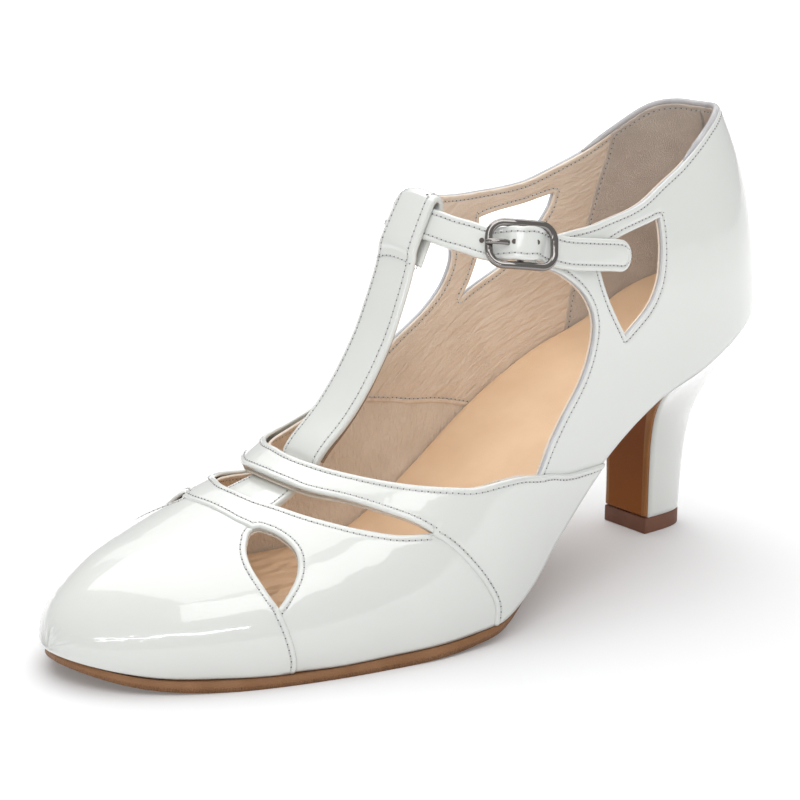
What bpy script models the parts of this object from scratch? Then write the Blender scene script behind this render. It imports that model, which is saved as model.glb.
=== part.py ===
"""White patent T-strap shoe with a covered heel, one left shoe.

Metres, +Z up. The middle of the heel's tread is the origin, the toe points to -Y and the
outer side of the foot is +X. Every leather piece lies on one last, which is worked out from
the named sizes below.
"""

import bmesh
import bpy
import numpy as np
from mathutils import Matrix, Vector

# Sizes of the last
LENGTH = 0.2235
BALL_WIDTH = 0.0790
HEEL_HEIGHT = 0.0630
TOP_HEIGHT = 0.1370
BACK_Y = 0.0280
CENTRE_X = 0.0015
TOE_SWING = 0.0060
HEEL_ROUND = 0.1185
HEEL_DRAW = 0.0580
TOE_ROUND = 0.30
NOSE_SHARE = 0.12
BACK_LEAN = 0.0624
HEEL_PINCH = 0.32
HEEL_TURN = 0.10
TOE_TURN = 0.10

# Sizes of the pieces
WALL = 0.0018
LAP_STEP = 0.0005
FIT_GAP = 0.0003
SEAT_GAP = 0.0005
INSOLE_THICK = 0.0026
SOLE_THICK = 0.0030
TOP_PIECE_THICK = 0.0048
TREAD_HALF_WIDTH = 0.0085
TREAD_FRONT = -0.0080
TREAD_BACK = 0.0085
BREAST_SHARE = 0.226
BREAST_COVER_THICK = 0.0011
TBAR_THICK = 0.0015
STRAP_THICK = 0.0016
STRAP_WIDTH = 0.0090
BUCKLE_LENGTH = 0.0215
BUCKLE_WIDTH = 0.0144
FRAME_RADIUS = 0.0010
BAR_RADIUS = 0.0008
FRAME_LIFT = 0.0031
FRAME_BOW = 0.0013
BAR_LIFT = 0.0013
CHAPE_THICK = 0.0008
CHAPE_WIDTH = 0.0080
PRONG_RADIUS = 0.00055
HOLE_RADIUS = 0.0014

# Columns: share of the length from the heel, height of the feather edge in heel heights,
# outer and inner half width in ball widths, ridge height in top heights, flat share of the
# ridge, bulge of the side wall
LAST = (
    (0.00, 1.116, 0.301, 0.313, 1.120, 0.439, 0.067),
    (0.08, 1.003, 0.323, 0.317, 1.038, 0.447, 0.068),
    (0.16, 0.873, 0.349, 0.324, 0.992, 0.437, 0.059),
    (0.25, 0.764, 0.364, 0.333, 0.981, 0.374, 0.057),
    (0.35, 0.578, 0.405, 0.338, 0.992, 0.244, 0.068),
    (0.45, 0.326, 0.471, 0.340, 0.928, 0.110, 0.069),
    (0.50, 0.193, 0.516, 0.355, 0.825, 0.000, 0.065),
    (0.55, 0.100, 0.545, 0.373, 0.676, 0.000, 0.062),
    (0.59, 0.075, 0.542, 0.405, 0.522, 0.000, 0.062),
    (0.64, 0.064, 0.534, 0.436, 0.400, 0.000, 0.061),
    (0.70, 0.058, 0.504, 0.474, 0.317, 0.000, 0.073),
    (0.78, 0.052, 0.473, 0.489, 0.265, 0.000, 0.089),
    (0.86, 0.057, 0.452, 0.469, 0.223, 0.000, 0.103),
    (0.93, 0.071, 0.442, 0.423, 0.195, 0.000, 0.109),
    (1.00, 0.121, 0.440, 0.380, 0.177, 0.000, 0.114),
)

# Columns: share of the length, how far the sole stands out from the feather edge in
# millimetres on the outer side, on the inner side, thickness as a share of SOLE_THICK
SOLE = (
    (0.22, -1.6, -1.6, 0.62),
    (0.34, -2.0, -2.2, 0.66),
    (0.44, -1.8, -2.2, 0.70),
    (0.50, -0.8, -1.6, 0.78),
    (0.56, 0.6, -0.2, 0.90),
    (0.62, 1.2, 0.8, 1.02),
    (0.74, 1.2, 1.0, 1.10),
    (0.86, 1.1, 0.9, 1.02),
    (0.95, 0.6, 0.5, 0.92),
    (1.00, 0.2, 0.2, 0.86),
)

# Columns: share of the height from tread to seat, share of the way from the tread's plan to
# the seat's plan at the back, and at the breast
HEEL_FLARE = (
    (0.00, 0.000, 0.000),
    (0.22, 0.035, 0.000),
    (0.40, 0.105, 0.015),
    (0.50, 0.185, 0.045),
    (0.60, 0.330, 0.110),
    (0.70, 0.510, 0.220),
    (0.80, 0.690, 0.400),
    (0.90, 0.860, 0.660),
    (1.00, 1.000, 1.000),
)

# Outlines on the last. Columns: station along the last, share down from the ridge (outer side
# positive), 1 where the outline turns a corner
COLLAR = (
    (-0.060, 0.522, 1), (0.000, 0.556, 0), (0.045, 0.542, 0), (0.095, 0.510, 0), (0.140, 0.490, 0),
    (0.190, 0.488, 0), (0.250, 0.511, 0), (0.330, 0.551, 0), (0.402, 0.549, 0), (0.463, 0.507, 0),
    (0.511, 0.460, 1), (0.517, 0.480, 0), (0.511, 0.515, 1), (0.494, 0.538, 0), (0.464, 0.596, 0),
    (0.436, 0.662, 0), (0.423, 0.719, 0), (0.428, 0.762, 0), (0.448, 0.797, 0), (0.490, 0.816, 0),
    (0.534, 0.836, 1), (0.555, 0.800, 0), (0.616, 0.685, 0), (0.655, 0.572, 0), (0.688, 0.453, 0),
    (0.715, 0.328, 0), (0.736, 0.192, 0), (0.745, 0.087, 0), (0.747, 0.000, 0), (0.743, -0.088, 0),
    (0.734, -0.200, 0), (0.713, -0.330, 0), (0.684, -0.450, 0), (0.645, -0.560, 0), (0.604, -0.645, 0),
    (0.552, -0.700, 0), (0.488, -0.720, 0), (0.448, -0.707, 0), (0.431, -0.669, 0), (0.435, -0.622, 0),
    (0.465, -0.560, 0), (0.530, -0.420, 0), (0.555, -0.345, 0), (0.578, -0.205, 0), (0.590, -0.050, 0),
    (0.591, -0.006, 1), (0.572, -0.006, 1), (0.571, -0.050, 0), (0.561, -0.190, 0), (0.538, -0.320, 0),
    (0.514, -0.394, 0), (0.456, -0.489, 0), (0.391, -0.542, 0), (0.324, -0.552, 0), (0.225, -0.524, 0),
    (0.138, -0.515, 0), (0.092, -0.517, 0), (0.045, -0.541, 0), (0.000, -0.556, 0), (-0.060, -0.522, 1),
)
TEARDROP = (
    (0.862, 0.645, 1), (0.850, 0.596, 0), (0.835, 0.532, 0), (0.825, 0.462, 0), (0.822, 0.404, 0),
    (0.825, 0.333, 0), (0.832, 0.265, 0), (0.842, 0.224, 0), (0.855, 0.262, 0), (0.864, 0.320, 0),
    (0.869, 0.412, 0), (0.867, 0.548, 0),
)
BAND_GAP_HALF = (
    (0.779, 0.000, 0), (0.777, 0.090, 0), (0.770, 0.188, 0), (0.748, 0.315, 0), (0.723, 0.449, 0),
    (0.701, 0.553, 0), (0.684, 0.637, 1), (0.719, 0.556, 0), (0.740, 0.490, 0), (0.763, 0.406, 0),
    (0.790, 0.282, 0), (0.807, 0.162, 0), (0.814, 0.090, 0), (0.816, 0.000, 0),
)
OUTER_TRIANGLE = (
    (0.289, 0.602, 1), (0.288, 0.640, 0), (0.291, 0.697, 0), (0.300, 0.748, 0), (0.321, 0.784, 0),
    (0.366, 0.806, 1), (0.394, 0.715, 0), (0.408, 0.645, 0), (0.410, 0.606, 1), (0.360, 0.602, 0),
)
INNER_TRIANGLE = (
    (0.390, -0.604, 1), (0.330, -0.608, 0), (0.262, -0.608, 1), (0.270, -0.650, 0), (0.298, -0.705, 0),
    (0.343, -0.745, 0), (0.412, -0.760, 1), (0.398, -0.735, 0), (0.386, -0.680, 0),
)
TOE_SEAM = ((0.848, 1.060, 0), (0.850, 0.940, 0), (0.855, 0.820, 0), (0.860, 0.700, 0), (0.861, 0.600, 0),
            (0.848, 0.350, 0), (0.842, 0.240, 0), (0.849, 0.132, 0))
WING_SEAM = ((0.612, 1.060, 0), (0.614, 0.960, 0), (0.627, 0.900, 0), (0.649, 0.806, 0), (0.674, 0.690, 0),
             (0.690, 0.620, 0), (0.731, 0.470, 0), (0.769, 0.300, 0), (0.793, 0.140, 0))
OUTER_THROAT = ((0.747, 0.000, 0), (0.745, 0.087, 0), (0.736, 0.192, 0), (0.715, 0.328, 0),
                (0.688, 0.453, 0), (0.655, 0.572, 0), (0.616, 0.685, 0), (0.555, 0.800, 0),
                (0.488, 0.905, 0), (0.442, 0.960, 0), (0.403, 1.000, 0), (0.360, 1.060, 1))
INNER_THROAT = ((0.360, -1.060, 1), (0.403, -1.000, 0), (0.470, -0.880, 0), (0.520, -0.780, 0),
                (0.552, -0.702, 0), (0.604, -0.645, 0), (0.645, -0.560, 0), (0.684, -0.450, 0),
                (0.713, -0.330, 0), (0.734, -0.200, 0), (0.743, -0.088, 0))

# Columns: station, share down from the ridge, height of the strap's middle over the last in
# millimetres
STRAP_PATH = (
    (0.5810, 0.010, -0.9), (0.5805, 0.080, -0.9), (0.5750, 0.180, -0.6), (0.5640, 0.275, 0.4),
    (0.5540, 0.335, 1.2), (0.5435, 0.375, 2.8), (0.5360, 0.400, 4.6), (0.5280, 0.425, 5.0),
    (0.5180, 0.448, 4.3), (0.5020, 0.485, 2.0), (0.4880, 0.510, 1.25), (0.4600, 0.553, 1.2),
    (0.4180, 0.600, 1.3), (0.3800, 0.634, 1.3), (0.3620, 0.648, 1.3),
)
# Columns: station, height of the strip's middle over the last in millimetres, width in
# millimetres
TBAR_PATH = (
    (0.8470, -3.00, 24.0), (0.8180, -3.00, 24.0), (0.7980, -2.95, 23.0), (0.7780, -3.00, 20.5),
    (0.7450, -2.95, 16.5), (0.7330, -1.60, 15.6), (0.7180, -0.75, 15.0), (0.6900, -0.75, 14.6),
    (0.6550, -0.75, 14.2), (0.6280, -0.75, 14.0), (0.6100, -0.60, 13.8), (0.6000, 0.20, 13.8),
    (0.5940, 1.05, 13.8), (0.5700, 1.15, 13.8), (0.5670, 0.95, 13.8), (0.5650, 0.30, 13.8),
    (0.5642, -0.90, 13.8), (0.5650, -2.10, 13.8), (0.5670, -2.75, 13.8), (0.5700, -2.95, 13.8),
    (0.5850, -2.95, 13.6), (0.6020, -2.95, 13.2),
)

GRID_ALONG = 44
GRID_ACROSS = 28
CHART_LONG = 22.35
CHART_WIDE = 10.0
CHART_DEEP = 100.0
WHOLE = 1.0 + (HEEL_TURN + TOE_TURN) / 2


def table(rows, at):
    """The columns of a table after its first, smoothly interpolated at these values."""
    rows = np.array(rows, float)
    x, y = rows[:, 0], rows[:, 1:]
    slope = np.zeros_like(y)
    slope[1:-1] = (y[2:] - y[:-2]) / (x[2:] - x[:-2])[:, None]
    slope[0] = (y[1] - y[0]) / (x[1] - x[0])
    slope[-1] = (y[-1] - y[-2]) / (x[-1] - x[-2])
    at = np.clip(np.asarray(at, float), x[0], x[-1])
    k = np.clip(np.searchsorted(x, at, side="right") - 1, 0, len(x) - 2)
    step = (x[k + 1] - x[k])[..., None]
    t = (at - x[k])[..., None] / step
    start = (1 + 2 * t) * (1 - t) ** 2 * y[k] + t * (1 - t) ** 2 * step * slope[k]
    end = t * t * (3 - 2 * t) * y[k + 1] + t * t * (t - 1) * step * slope[k + 1]
    return start + end


def share_of(station):
    """Share of the length at a station. Stations run evenly round the heel and the toe too."""
    station = np.clip(station, 0, WHOLE)
    left = WHOLE - station
    heel = station * station / (2 * HEEL_TURN)
    toe = 1 - left * left / (2 * TOE_TURN)
    return np.where(station < HEEL_TURN, heel, np.where(left < TOE_TURN, toe, station - HEEL_TURN / 2))


def station_of(share):
    """The station at a share of the length."""
    share = np.asarray(share, float)
    heel = np.sqrt(2 * HEEL_TURN * np.maximum(share, 0))
    toe = WHOLE - np.sqrt(2 * TOE_TURN * np.maximum(1 - share, 0))
    return np.where(share < HEEL_TURN / 2, heel, np.where(1 - share < TOE_TURN / 2, toe, share + HEEL_TURN / 2))


def last_point(station, down):
    """Points of the last. down is 0 on the ridge, 1 on the outer feather edge, -1 on the inner."""
    station, down = np.broadcast_arrays(np.asarray(station, float), np.asarray(down, float))
    down = np.where(station < 0, -down, down)
    share = share_of(np.abs(station))
    up = np.clip(1 - np.abs(down), 0, 1)
    row = table(LAST, share)
    foot = row[..., 0] * HEEL_HEIGHT
    half = np.where(down < 0, row[..., 2], row[..., 1]) * BALL_WIDTH
    toe = np.clip((share - 1 + TOE_ROUND) / TOE_ROUND, 0, 1)
    reach = HEEL_ROUND + HEEL_DRAW * up
    heel = np.clip((reach - share) / reach, 0, 1)
    half = half * (1 - toe**2.1) ** 0.5 * (1 - heel**2.2) ** (1 / 2.2)
    nose = np.clip((share - 1 + NOSE_SHARE) / NOSE_SHARE, 0, 1)
    tall = (row[..., 3] * TOP_HEIGHT - foot) * (1 - nose**2.2) ** 0.5
    low = 3 * up * (1 - up) ** 2
    high = 3 * up * up * (1 - up)
    wide = (1 - up) ** 3 + low * (1 + 1.6 * row[..., 5]) + 0.72 * high + row[..., 4] * up**3
    lean = np.clip(1 - share / 0.3, 0, 1) ** 1.5 * BACK_LEAN * up * up
    wide = wide * (1 - HEEL_PINCH * np.clip(1 - share / 0.3, 0, 1) * up * up * (3 - 2 * up))
    swing = CENTRE_X - TOE_SWING * np.clip((share - 0.5) / 0.5, 0, 1) ** 2
    x = swing + np.where(down < 0, -half, half) * wide
    y = BACK_Y - share * LENGTH - lean
    z = foot + tall * (0.5 * low + high + up**3)
    return np.stack([x, y, z], axis=-1)


def slopes(station, down):
    """How the last's point moves with the station and with the share down."""
    step = 0.002
    station, down = np.broadcast_arrays(np.asarray(station, float), np.asarray(down, float))
    inside = np.minimum(station, WHOLE - 2 * step)
    along = (last_point(inside + step, down) - last_point(inside - step, down)) / (2 * step)
    above = np.clip(down + step, -1, 1)
    below = np.clip(down - step, -1, 1)
    across = (last_point(inside, above) - last_point(inside, below)) / (above - below)[..., None]
    return along, across


def last_normal(station, down):
    """Outward direction of the last, straight ahead at the very toe."""
    along, across = slopes(station, down)
    normal = np.cross(along, across)
    normal = normal / np.linalg.norm(normal, axis=-1, keepdims=True)
    near = np.clip((WHOLE - np.asarray(station, float)) / 0.02, 0, 1)[..., None]
    normal = normal * near + np.array([0.0, -1.0, 0.0]) * (1 - near)
    return normal / np.linalg.norm(normal, axis=-1, keepdims=True)


def on_last(station, down, height):
    """Points at this height over the last."""
    return last_point(station, down) + last_normal(station, down) * np.asarray(height, float)[..., None]


def clear_scene():
    for thing in list(bpy.data.objects):
        bpy.data.objects.remove(thing, do_unlink=True)


def collection(name, cutters=False):
    made = bpy.data.collections.new(name)
    bpy.context.scene.collection.children.link(made)
    made.hide_render = cutters
    return made


def material(name, colour, roughness, metallic=0.0, coat=0.0):
    made = bpy.data.materials.new(name)
    made.use_nodes = True
    shader = made.node_tree.nodes["Principled BSDF"]
    shader.inputs["Base Color"].default_value = (*colour, 1.0)
    shader.inputs["Roughness"].default_value = roughness
    shader.inputs["Metallic"].default_value = metallic
    shader.inputs["Coat Weight"].default_value = coat
    return made


def mesh_object(name, points, faces, holder, finish=None):
    data = bpy.data.meshes.new(name)
    data.from_pydata([tuple(map(float, p)) for p in points], [], [tuple(map(int, f)) for f in faces])
    made = bpy.data.objects.new(name, data)
    holder.objects.link(made)
    if finish:
        data.materials.append(finish)
    return made


def tidy_mesh(made, merge=1e-6):
    """Joins points that coincide and turns every face outward."""
    work = bmesh.new()
    work.from_mesh(made.data)
    bmesh.ops.remove_doubles(work, verts=work.verts, dist=merge)
    bmesh.ops.dissolve_degenerate(work, edges=work.edges, dist=merge)
    bmesh.ops.recalc_face_normals(work, faces=work.faces)
    work.to_mesh(made.data)
    work.free()
    made.data.update()


def skin(name, rings, holder, finish=None):
    """A closed body through rings of equal count, each end closed by one face."""
    count = len(rings[0])
    faces = []
    for i in range(len(rings) - 1):
        for j in range(count):
            k = (j + 1) % count
            faces.append((i * count + j, i * count + k, (i + 1) * count + k, (i + 1) * count + j))
    faces.append(tuple(range(count))[::-1])
    faces.append(tuple((len(rings) - 1) * count + j for j in range(count)))
    made = mesh_object(name, np.concatenate(rings), faces, holder, finish)
    tidy_mesh(made)
    return made


def apply_boolean(made, other, operation):
    """Works the Boolean out at once, so that the chart can be wrapped afterwards."""
    tool = made.modifiers.new("Boolean", "BOOLEAN")
    tool.operation = operation
    tool.solver = "EXACT"
    tool.object = other
    graph = bpy.context.evaluated_depsgraph_get()
    result = bpy.data.meshes.new_from_object(made.evaluated_get(graph))
    made.modifiers.clear()
    made.data = result


def outline_prism(name, rows, bottom, top, holder):
    """An outline on the flat chart as a filled curve, extruded from bottom to top."""
    data = bpy.data.curves.new(name, "CURVE")
    data.dimensions = "2D"
    data.fill_mode = "BOTH"
    data.extrude = (top - bottom) / 2
    data.resolution_u = 3
    line = data.splines.new("BEZIER")
    line.bezier_points.add(len(rows) - 1)
    line.use_cyclic_u = True
    for point, (station, down, corner) in zip(line.bezier_points, rows):
        point.co = (station * CHART_LONG, down * CHART_WIDE, 0.0)
        kind = "VECTOR" if corner else "AUTO"
        point.handle_left_type = kind
        point.handle_right_type = kind
    curve = bpy.data.objects.new(name + "_curve", data)
    holder.objects.link(curve)
    bpy.context.view_layer.update()
    graph = bpy.context.evaluated_depsgraph_get()
    body = bpy.data.meshes.new_from_object(curve.evaluated_get(graph))
    made = bpy.data.objects.new(name, body)
    holder.objects.link(made)
    body.transform(Matrix.Translation((0, 0, (top + bottom) / 2)))
    bpy.data.objects.remove(curve, do_unlink=True)
    tidy_mesh(made, 1e-5)
    made.display_type = "WIRE"
    return made


def chart_slab(name, bottom, top, holder):
    """A flat slab over the whole chart, with the grid lines that the wrap needs."""
    along = np.linspace(0, WHOLE, GRID_ALONG + 1) * CHART_LONG
    across = np.linspace(-1, 1, GRID_ACROSS + 1) * CHART_WIDE
    points = [(x, y, z) for z in (bottom, top) for x in along for y in across]
    wide = len(across)
    sheet = len(along) * wide
    faces = []
    for i in range(len(along) - 1):
        for j in range(wide - 1):
            a, b = i * wide + j, (i + 1) * wide + j
            faces.append((a, a + 1, b + 1, b))
            faces.append((sheet + a, sheet + b, sheet + b + 1, sheet + a + 1))
        low, high = i * wide, (i + 1) * wide
        faces.append((low, high, sheet + high, sheet + low))
        low, high = low + wide - 1, high + wide - 1
        faces.append((high, low, sheet + low, sheet + high))
    last = (len(along) - 1) * wide
    for j in range(wide - 1):
        faces.append((j + 1, j, sheet + j, sheet + j + 1))
        faces.append((last + j, last + j + 1, sheet + last + j + 1, sheet + last + j))
    made = mesh_object(name, points, faces, holder)
    tidy_mesh(made)
    return made


def mirrored(rows):
    return tuple((station, -down, corner) for station, down, corner in reversed(rows))


def raised_panel(name, front, height, holder):
    """The part of a slab between a seam and the throat line, raised by this height."""
    outline = front + mirrored(front) + INNER_THROAT + OUTER_THROAT
    slab = chart_slab(name, -0.6 * WALL * CHART_DEEP, height * CHART_DEEP, holder)
    cutter = outline_prism(name + "_outline", outline, -1.0, 1.0, holder)
    apply_boolean(slab, cutter, "INTERSECT")
    return slab


def upper(holder, cutters, finish):
    """The hollow upper: cut and stepped on the flat chart, then wrapped over the last."""
    body = chart_slab("upper", -WALL * CHART_DEEP, 0.0, holder)
    for name, front, steps in (("wing_step", TOE_SEAM, 1), ("rear_step", WING_SEAM, 2)):
        apply_boolean(body, raised_panel(name, front, steps * LAP_STEP, cutters), "UNION")
    gap = BAND_GAP_HALF + mirrored(BAND_GAP_HALF)[1:-1]
    openings = (COLLAR, TEARDROP, mirrored(TEARDROP), gap, OUTER_TRIANGLE, INNER_TRIANGLE)
    for number, rows in enumerate(openings):
        apply_boolean(body, outline_prism(f"opening_{number}", rows, -1.0, 1.0, cutters), "DIFFERENCE")
    wrap_upper(body)
    body.data.materials.clear()
    body.data.materials.append(finish)
    return body


def wrap_upper(body):
    """Moves each point of the chart to its place on the last, and closes the back and the toe."""
    work = bmesh.new()
    work.from_mesh(body.data)
    end = WHOLE * CHART_LONG
    closed = [
        face for face in work.faces
        if all(v.co.x < 1e-4 for v in face.verts) or all(v.co.x > end - 1e-4 for v in face.verts)
    ]
    bmesh.ops.delete(work, geom=closed, context="FACES_ONLY")
    flat = np.array([v.co for v in work.verts])
    station = np.clip(flat[:, 0] / CHART_LONG, 0, WHOLE)
    down = np.clip(flat[:, 1] / CHART_WIDE, -1, 1)
    placed = on_last(station, down, flat[:, 2] / CHART_DEEP)
    placed[station < 1e-5, 0] = CENTRE_X
    for vertex, place in zip(work.verts, placed):
        vertex.co = place
    work.to_mesh(body.data)
    work.free()
    tidy_mesh(body, 2e-6)


def resampled(rows, count):
    """A smooth path through the rows of a table, in count steps."""
    rows = np.array(rows, float)
    order = np.linspace(0, len(rows) - 1, len(rows))
    return table(np.column_stack([order, rows]), np.linspace(0, len(rows) - 1, count))


def ribbon(name, path, widths, thick, holder, finish, across=5):
    """A strip of leather along a path of station, share down and height over the last."""
    station, down, height = path.T
    centre = on_last(station, down, height)
    ahead = np.gradient(centre, axis=0)
    ahead = ahead / np.linalg.norm(ahead, axis=1, keepdims=True)
    along, aside = slopes(station, down)
    out = last_normal(station, down)
    rings = []
    side_before = None
    for i in range(len(path)):
        side = np.cross(out[i], ahead[i])
        if np.linalg.norm(side) < 0.3 and side_before is not None:
            side = side_before
        side = side / np.linalg.norm(side)
        if side_before is not None and side @ side_before < 0:
            side = -side
        side_before = side
        off = np.cross(ahead[i], side)
        off = off / np.linalg.norm(off)
        axes = np.column_stack([along[i], aside[i]])
        spots = np.linspace(-0.5, 0.5, across) * widths[i]
        moved = np.array([np.linalg.lstsq(axes, side * spot, rcond=None)[0] for spot in spots])
        middle = on_last(station[i] + moved[:, 0], down[i] + moved[:, 1], np.full(across, height[i]))
        rings.append(np.concatenate([middle + off * thick / 2, (middle - off * thick / 2)[::-1]]))
    return skin(name, rings, holder, finish)


def t_bar(holder, finish):
    """The strip under the two bands and up the instep, folded over the ankle strap."""
    rows = resampled(TBAR_PATH, 50)
    path = np.column_stack([rows[:, 0], np.full(len(rows), -0.012), rows[:, 1] / 1000])
    return ribbon("t_bar", path, rows[:, 2] / 1000, TBAR_THICK, holder, finish, across=5)


def strap_rows():
    rows = resampled(STRAP_PATH, 52)
    path = np.column_stack([rows[:, 0], rows[:, 1], rows[:, 2] / 1000])
    centre = on_last(*path.T)
    run = np.concatenate([[0], np.cumsum(np.linalg.norm(np.diff(centre, axis=0), axis=1))])
    left = np.clip((run[-1] - run) / (STRAP_WIDTH / 2), 0, 1)
    widths = STRAP_WIDTH * np.sqrt(np.maximum(1 - (1 - left) ** 2, 0.02))
    return path, widths


def buckle_frame_axes():
    """Where the buckle sits: its middle on the last, and its directions along, across and out."""
    station, down = 0.5280, 0.4250
    middle = last_point(station, down)
    out = last_normal(station, down)
    ahead = last_point(0.5540, 0.335) - last_point(0.4880, 0.510)
    ahead = ahead - out * (ahead @ out)
    ahead = ahead / np.linalg.norm(ahead)
    across = np.cross(out, ahead)
    return middle, ahead, across, out


def buckle_place():
    """The matrix that takes the buckle's own axes to its place."""
    middle, ahead, across, out = buckle_frame_axes()
    place = Matrix.Identity(4)
    for column, axis in enumerate((ahead, across, out, middle)):
        for row in range(3):
            place[row][column] = float(axis[row])
    return place


def tube(name, points, radius, closed, holder, finish=None, sides=2):
    """A round wire through these points of the buckle's own axes, as a closed mesh in place."""
    data = bpy.data.curves.new(name, "CURVE")
    data.dimensions = "3D"
    data.bevel_depth = radius
    data.bevel_resolution = sides
    data.use_fill_caps = True
    data.resolution_u = 1
    line = data.splines.new("POLY")
    line.points.add(len(points) - 1)
    line.use_cyclic_u = closed
    for point, place in zip(line.points, points):
        point.co = (*map(float, place), 1.0)
    curve = bpy.data.objects.new(name + "_curve", data)
    holder.objects.link(curve)
    bpy.context.view_layer.update()
    graph = bpy.context.evaluated_depsgraph_get()
    body = bpy.data.meshes.new_from_object(curve.evaluated_get(graph))
    bpy.data.objects.remove(curve, do_unlink=True)
    body.transform(buckle_place())
    made = bpy.data.objects.new(name, body)
    holder.objects.link(made)
    tidy_mesh(made, 1e-5)
    body.materials.clear()
    if finish:
        body.materials.append(finish)
    return made


def buckle_frame(holder, cutters, finish):
    """Rounded rectangle of wire, bowed to the ankle, with a straight bar across its middle."""
    corner = 0.0042
    half_long = BUCKLE_LENGTH / 2 - FRAME_RADIUS
    half_wide = BUCKLE_WIDTH / 2 - FRAME_RADIUS
    points = []
    for sx, sy, start in ((1, 1, 0), (-1, 1, 90), (-1, -1, 180), (1, -1, 270)):
        for step in range(7):
            angle = np.radians(start + 15 * step)
            x = sx * (half_long - corner) + corner * np.cos(angle)
            y = sy * (half_wide - corner) + corner * np.sin(angle)
            points.append((x, y, FRAME_LIFT - FRAME_BOW * (x / half_long) ** 2))
        if sx * sy > 0:
            points.append((0.0, sy * half_wide, FRAME_LIFT))
    frame = tube("buckle_frame", points, FRAME_RADIUS, True, holder, finish)
    ends = half_wide + 0.0002
    dip = ((0, ends, FRAME_LIFT - 0.0002), (0, ends - 0.0012, BAR_LIFT), (0, 1.2e-3 - ends, BAR_LIFT),
           (0, -ends, FRAME_LIFT - 0.0002))
    bar = tube("centre_bar", dip, BAR_RADIUS, False, cutters)
    apply_boolean(frame, bar, "UNION")
    frame.data.materials.clear()
    frame.data.materials.append(finish)
    return frame


def buckle_prong(holder, finish):
    """A hook round the centre bar, up through the strap's hole and over the frame's front bar."""
    turn = BAR_RADIUS + FIT_GAP + PRONG_RADIUS
    points = []
    for step in range(8):
        angle = np.radians(100 + 33 * step)
        points.append((turn * np.sin(angle), 0.0, BAR_LIFT + turn * np.cos(angle)))
    points += [(0.0016, 0, 0.0031), (0.0034, 0, 0.0037), (0.0050, 0, 0.0044), (0.0075, 0, 0.0042),
               (0.0098, 0, 0.0038), (0.0112, 0, 0.0035)]
    return tube("buckle_prong", points, PRONG_RADIUS, False, holder, finish)


def buckle_chape(holder, cutters, finish):
    """A strip round the centre bar, its two ends back over the outer tab, slotted for the prong."""
    turn = BAR_RADIUS + FIT_GAP + CHAPE_THICK / 2
    line = [(-0.0052, 0.0002), (-0.0040, 0.0004), (-0.0030, 0.0005), (-0.0018, 0.0004)]
    line += [(turn * np.sin(a), BAR_LIFT - turn * np.cos(a)) for a in np.radians(np.arange(20, 181, 20))]
    line += [(-0.0015, BAR_LIFT + turn - 0.0002), (-0.0030, BAR_LIFT + turn - 0.0009)]
    line = np.array(line)
    ahead = np.gradient(line, axis=0)
    ahead = ahead / np.linalg.norm(ahead, axis=1, keepdims=True)
    off = np.column_stack([-ahead[:, 1], ahead[:, 0]]) * CHAPE_THICK / 2
    rings = []
    half = CHAPE_WIDTH / 2
    for (x, z), (dx, dz) in zip(line, off):
        rings.append(np.array([(x + dx, half, z + dz), (x + dx, -half, z + dz),
                               (x - dx, -half, z - dz), (x - dx, half, z - dz)]))
    chape = skin("buckle_chape", rings, holder, finish)
    slot = block("chape_slot", (-0.0026, -0.0011, -0.0015), (0.0060, 0.0011, 0.0070), cutters)
    apply_boolean(chape, slot, "DIFFERENCE")
    chape.data.transform(buckle_place())
    tidy_mesh(chape)
    return chape


def block(name, low, high, holder):
    x0, y0, z0 = low
    x1, y1, z1 = high
    ring = np.array([(x0, y0, z0), (x1, y0, z0), (x1, y1, z0), (x0, y1, z0)])
    return skin(name, [ring, ring + np.array([0, 0, z1 - z0])], holder)


def ankle_strap(holder, cutters, finish):
    path, widths = strap_rows()
    strap = ribbon("ankle_strap", path, widths, STRAP_THICK, holder, finish, across=4)
    bpy.ops.mesh.primitive_cylinder_add(vertices=16, radius=HOLE_RADIUS, depth=0.012, location=(0, 0, 0))
    hole = bpy.context.active_object
    hole.name = "prong_hole"
    for home in list(hole.users_collection):
        home.objects.unlink(hole)
    cutters.objects.link(hole)
    hole.data.transform(buckle_place() @ Matrix.Translation(Vector((0.0034, 0, 0.005))))
    apply_boolean(strap, hole, "DIFFERENCE")
    strap.data.materials.clear()
    strap.data.materials.append(finish)
    return strap


def feather_plan(share, side, grow):
    """The feather edge at these shares, moved outward in plan by grow."""
    station = station_of(share)
    step = 0.001
    edge = last_point(station, side)
    ahead = last_point(np.minimum(station + step, WHOLE), side) - last_point(station - step, side)
    out = np.stack([-ahead[..., 1], ahead[..., 0], 0 * ahead[..., 0]], axis=-1) * side
    out = out / np.linalg.norm(out, axis=-1, keepdims=True)
    return edge + out * np.asarray(grow, float)[..., None]


def end_shares(low, high, count):
    """Shares that lie closer together towards both ends of the foot."""
    low, high = station_of(low), station_of(high)
    return share_of(np.linspace(low, high, count))


def lofted_slab(name, left, right, top, bottom, holder, finish, across=5):
    """A plate between two edges, with its own top and bottom height at each row."""
    rings = []
    for i in range(len(left)):
        blend = np.linspace(0, 1, across)[:, None]
        line = left[i] * (1 - blend) + right[i] * blend
        upper_line = line.copy()
        upper_line[:, 2] = top[i]
        lower_line = line[::-1].copy()
        lower_line[:, 2] = bottom[i]
        rings.append(np.concatenate([upper_line, lower_line]))
    return skin(name, rings, holder, finish)


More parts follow.
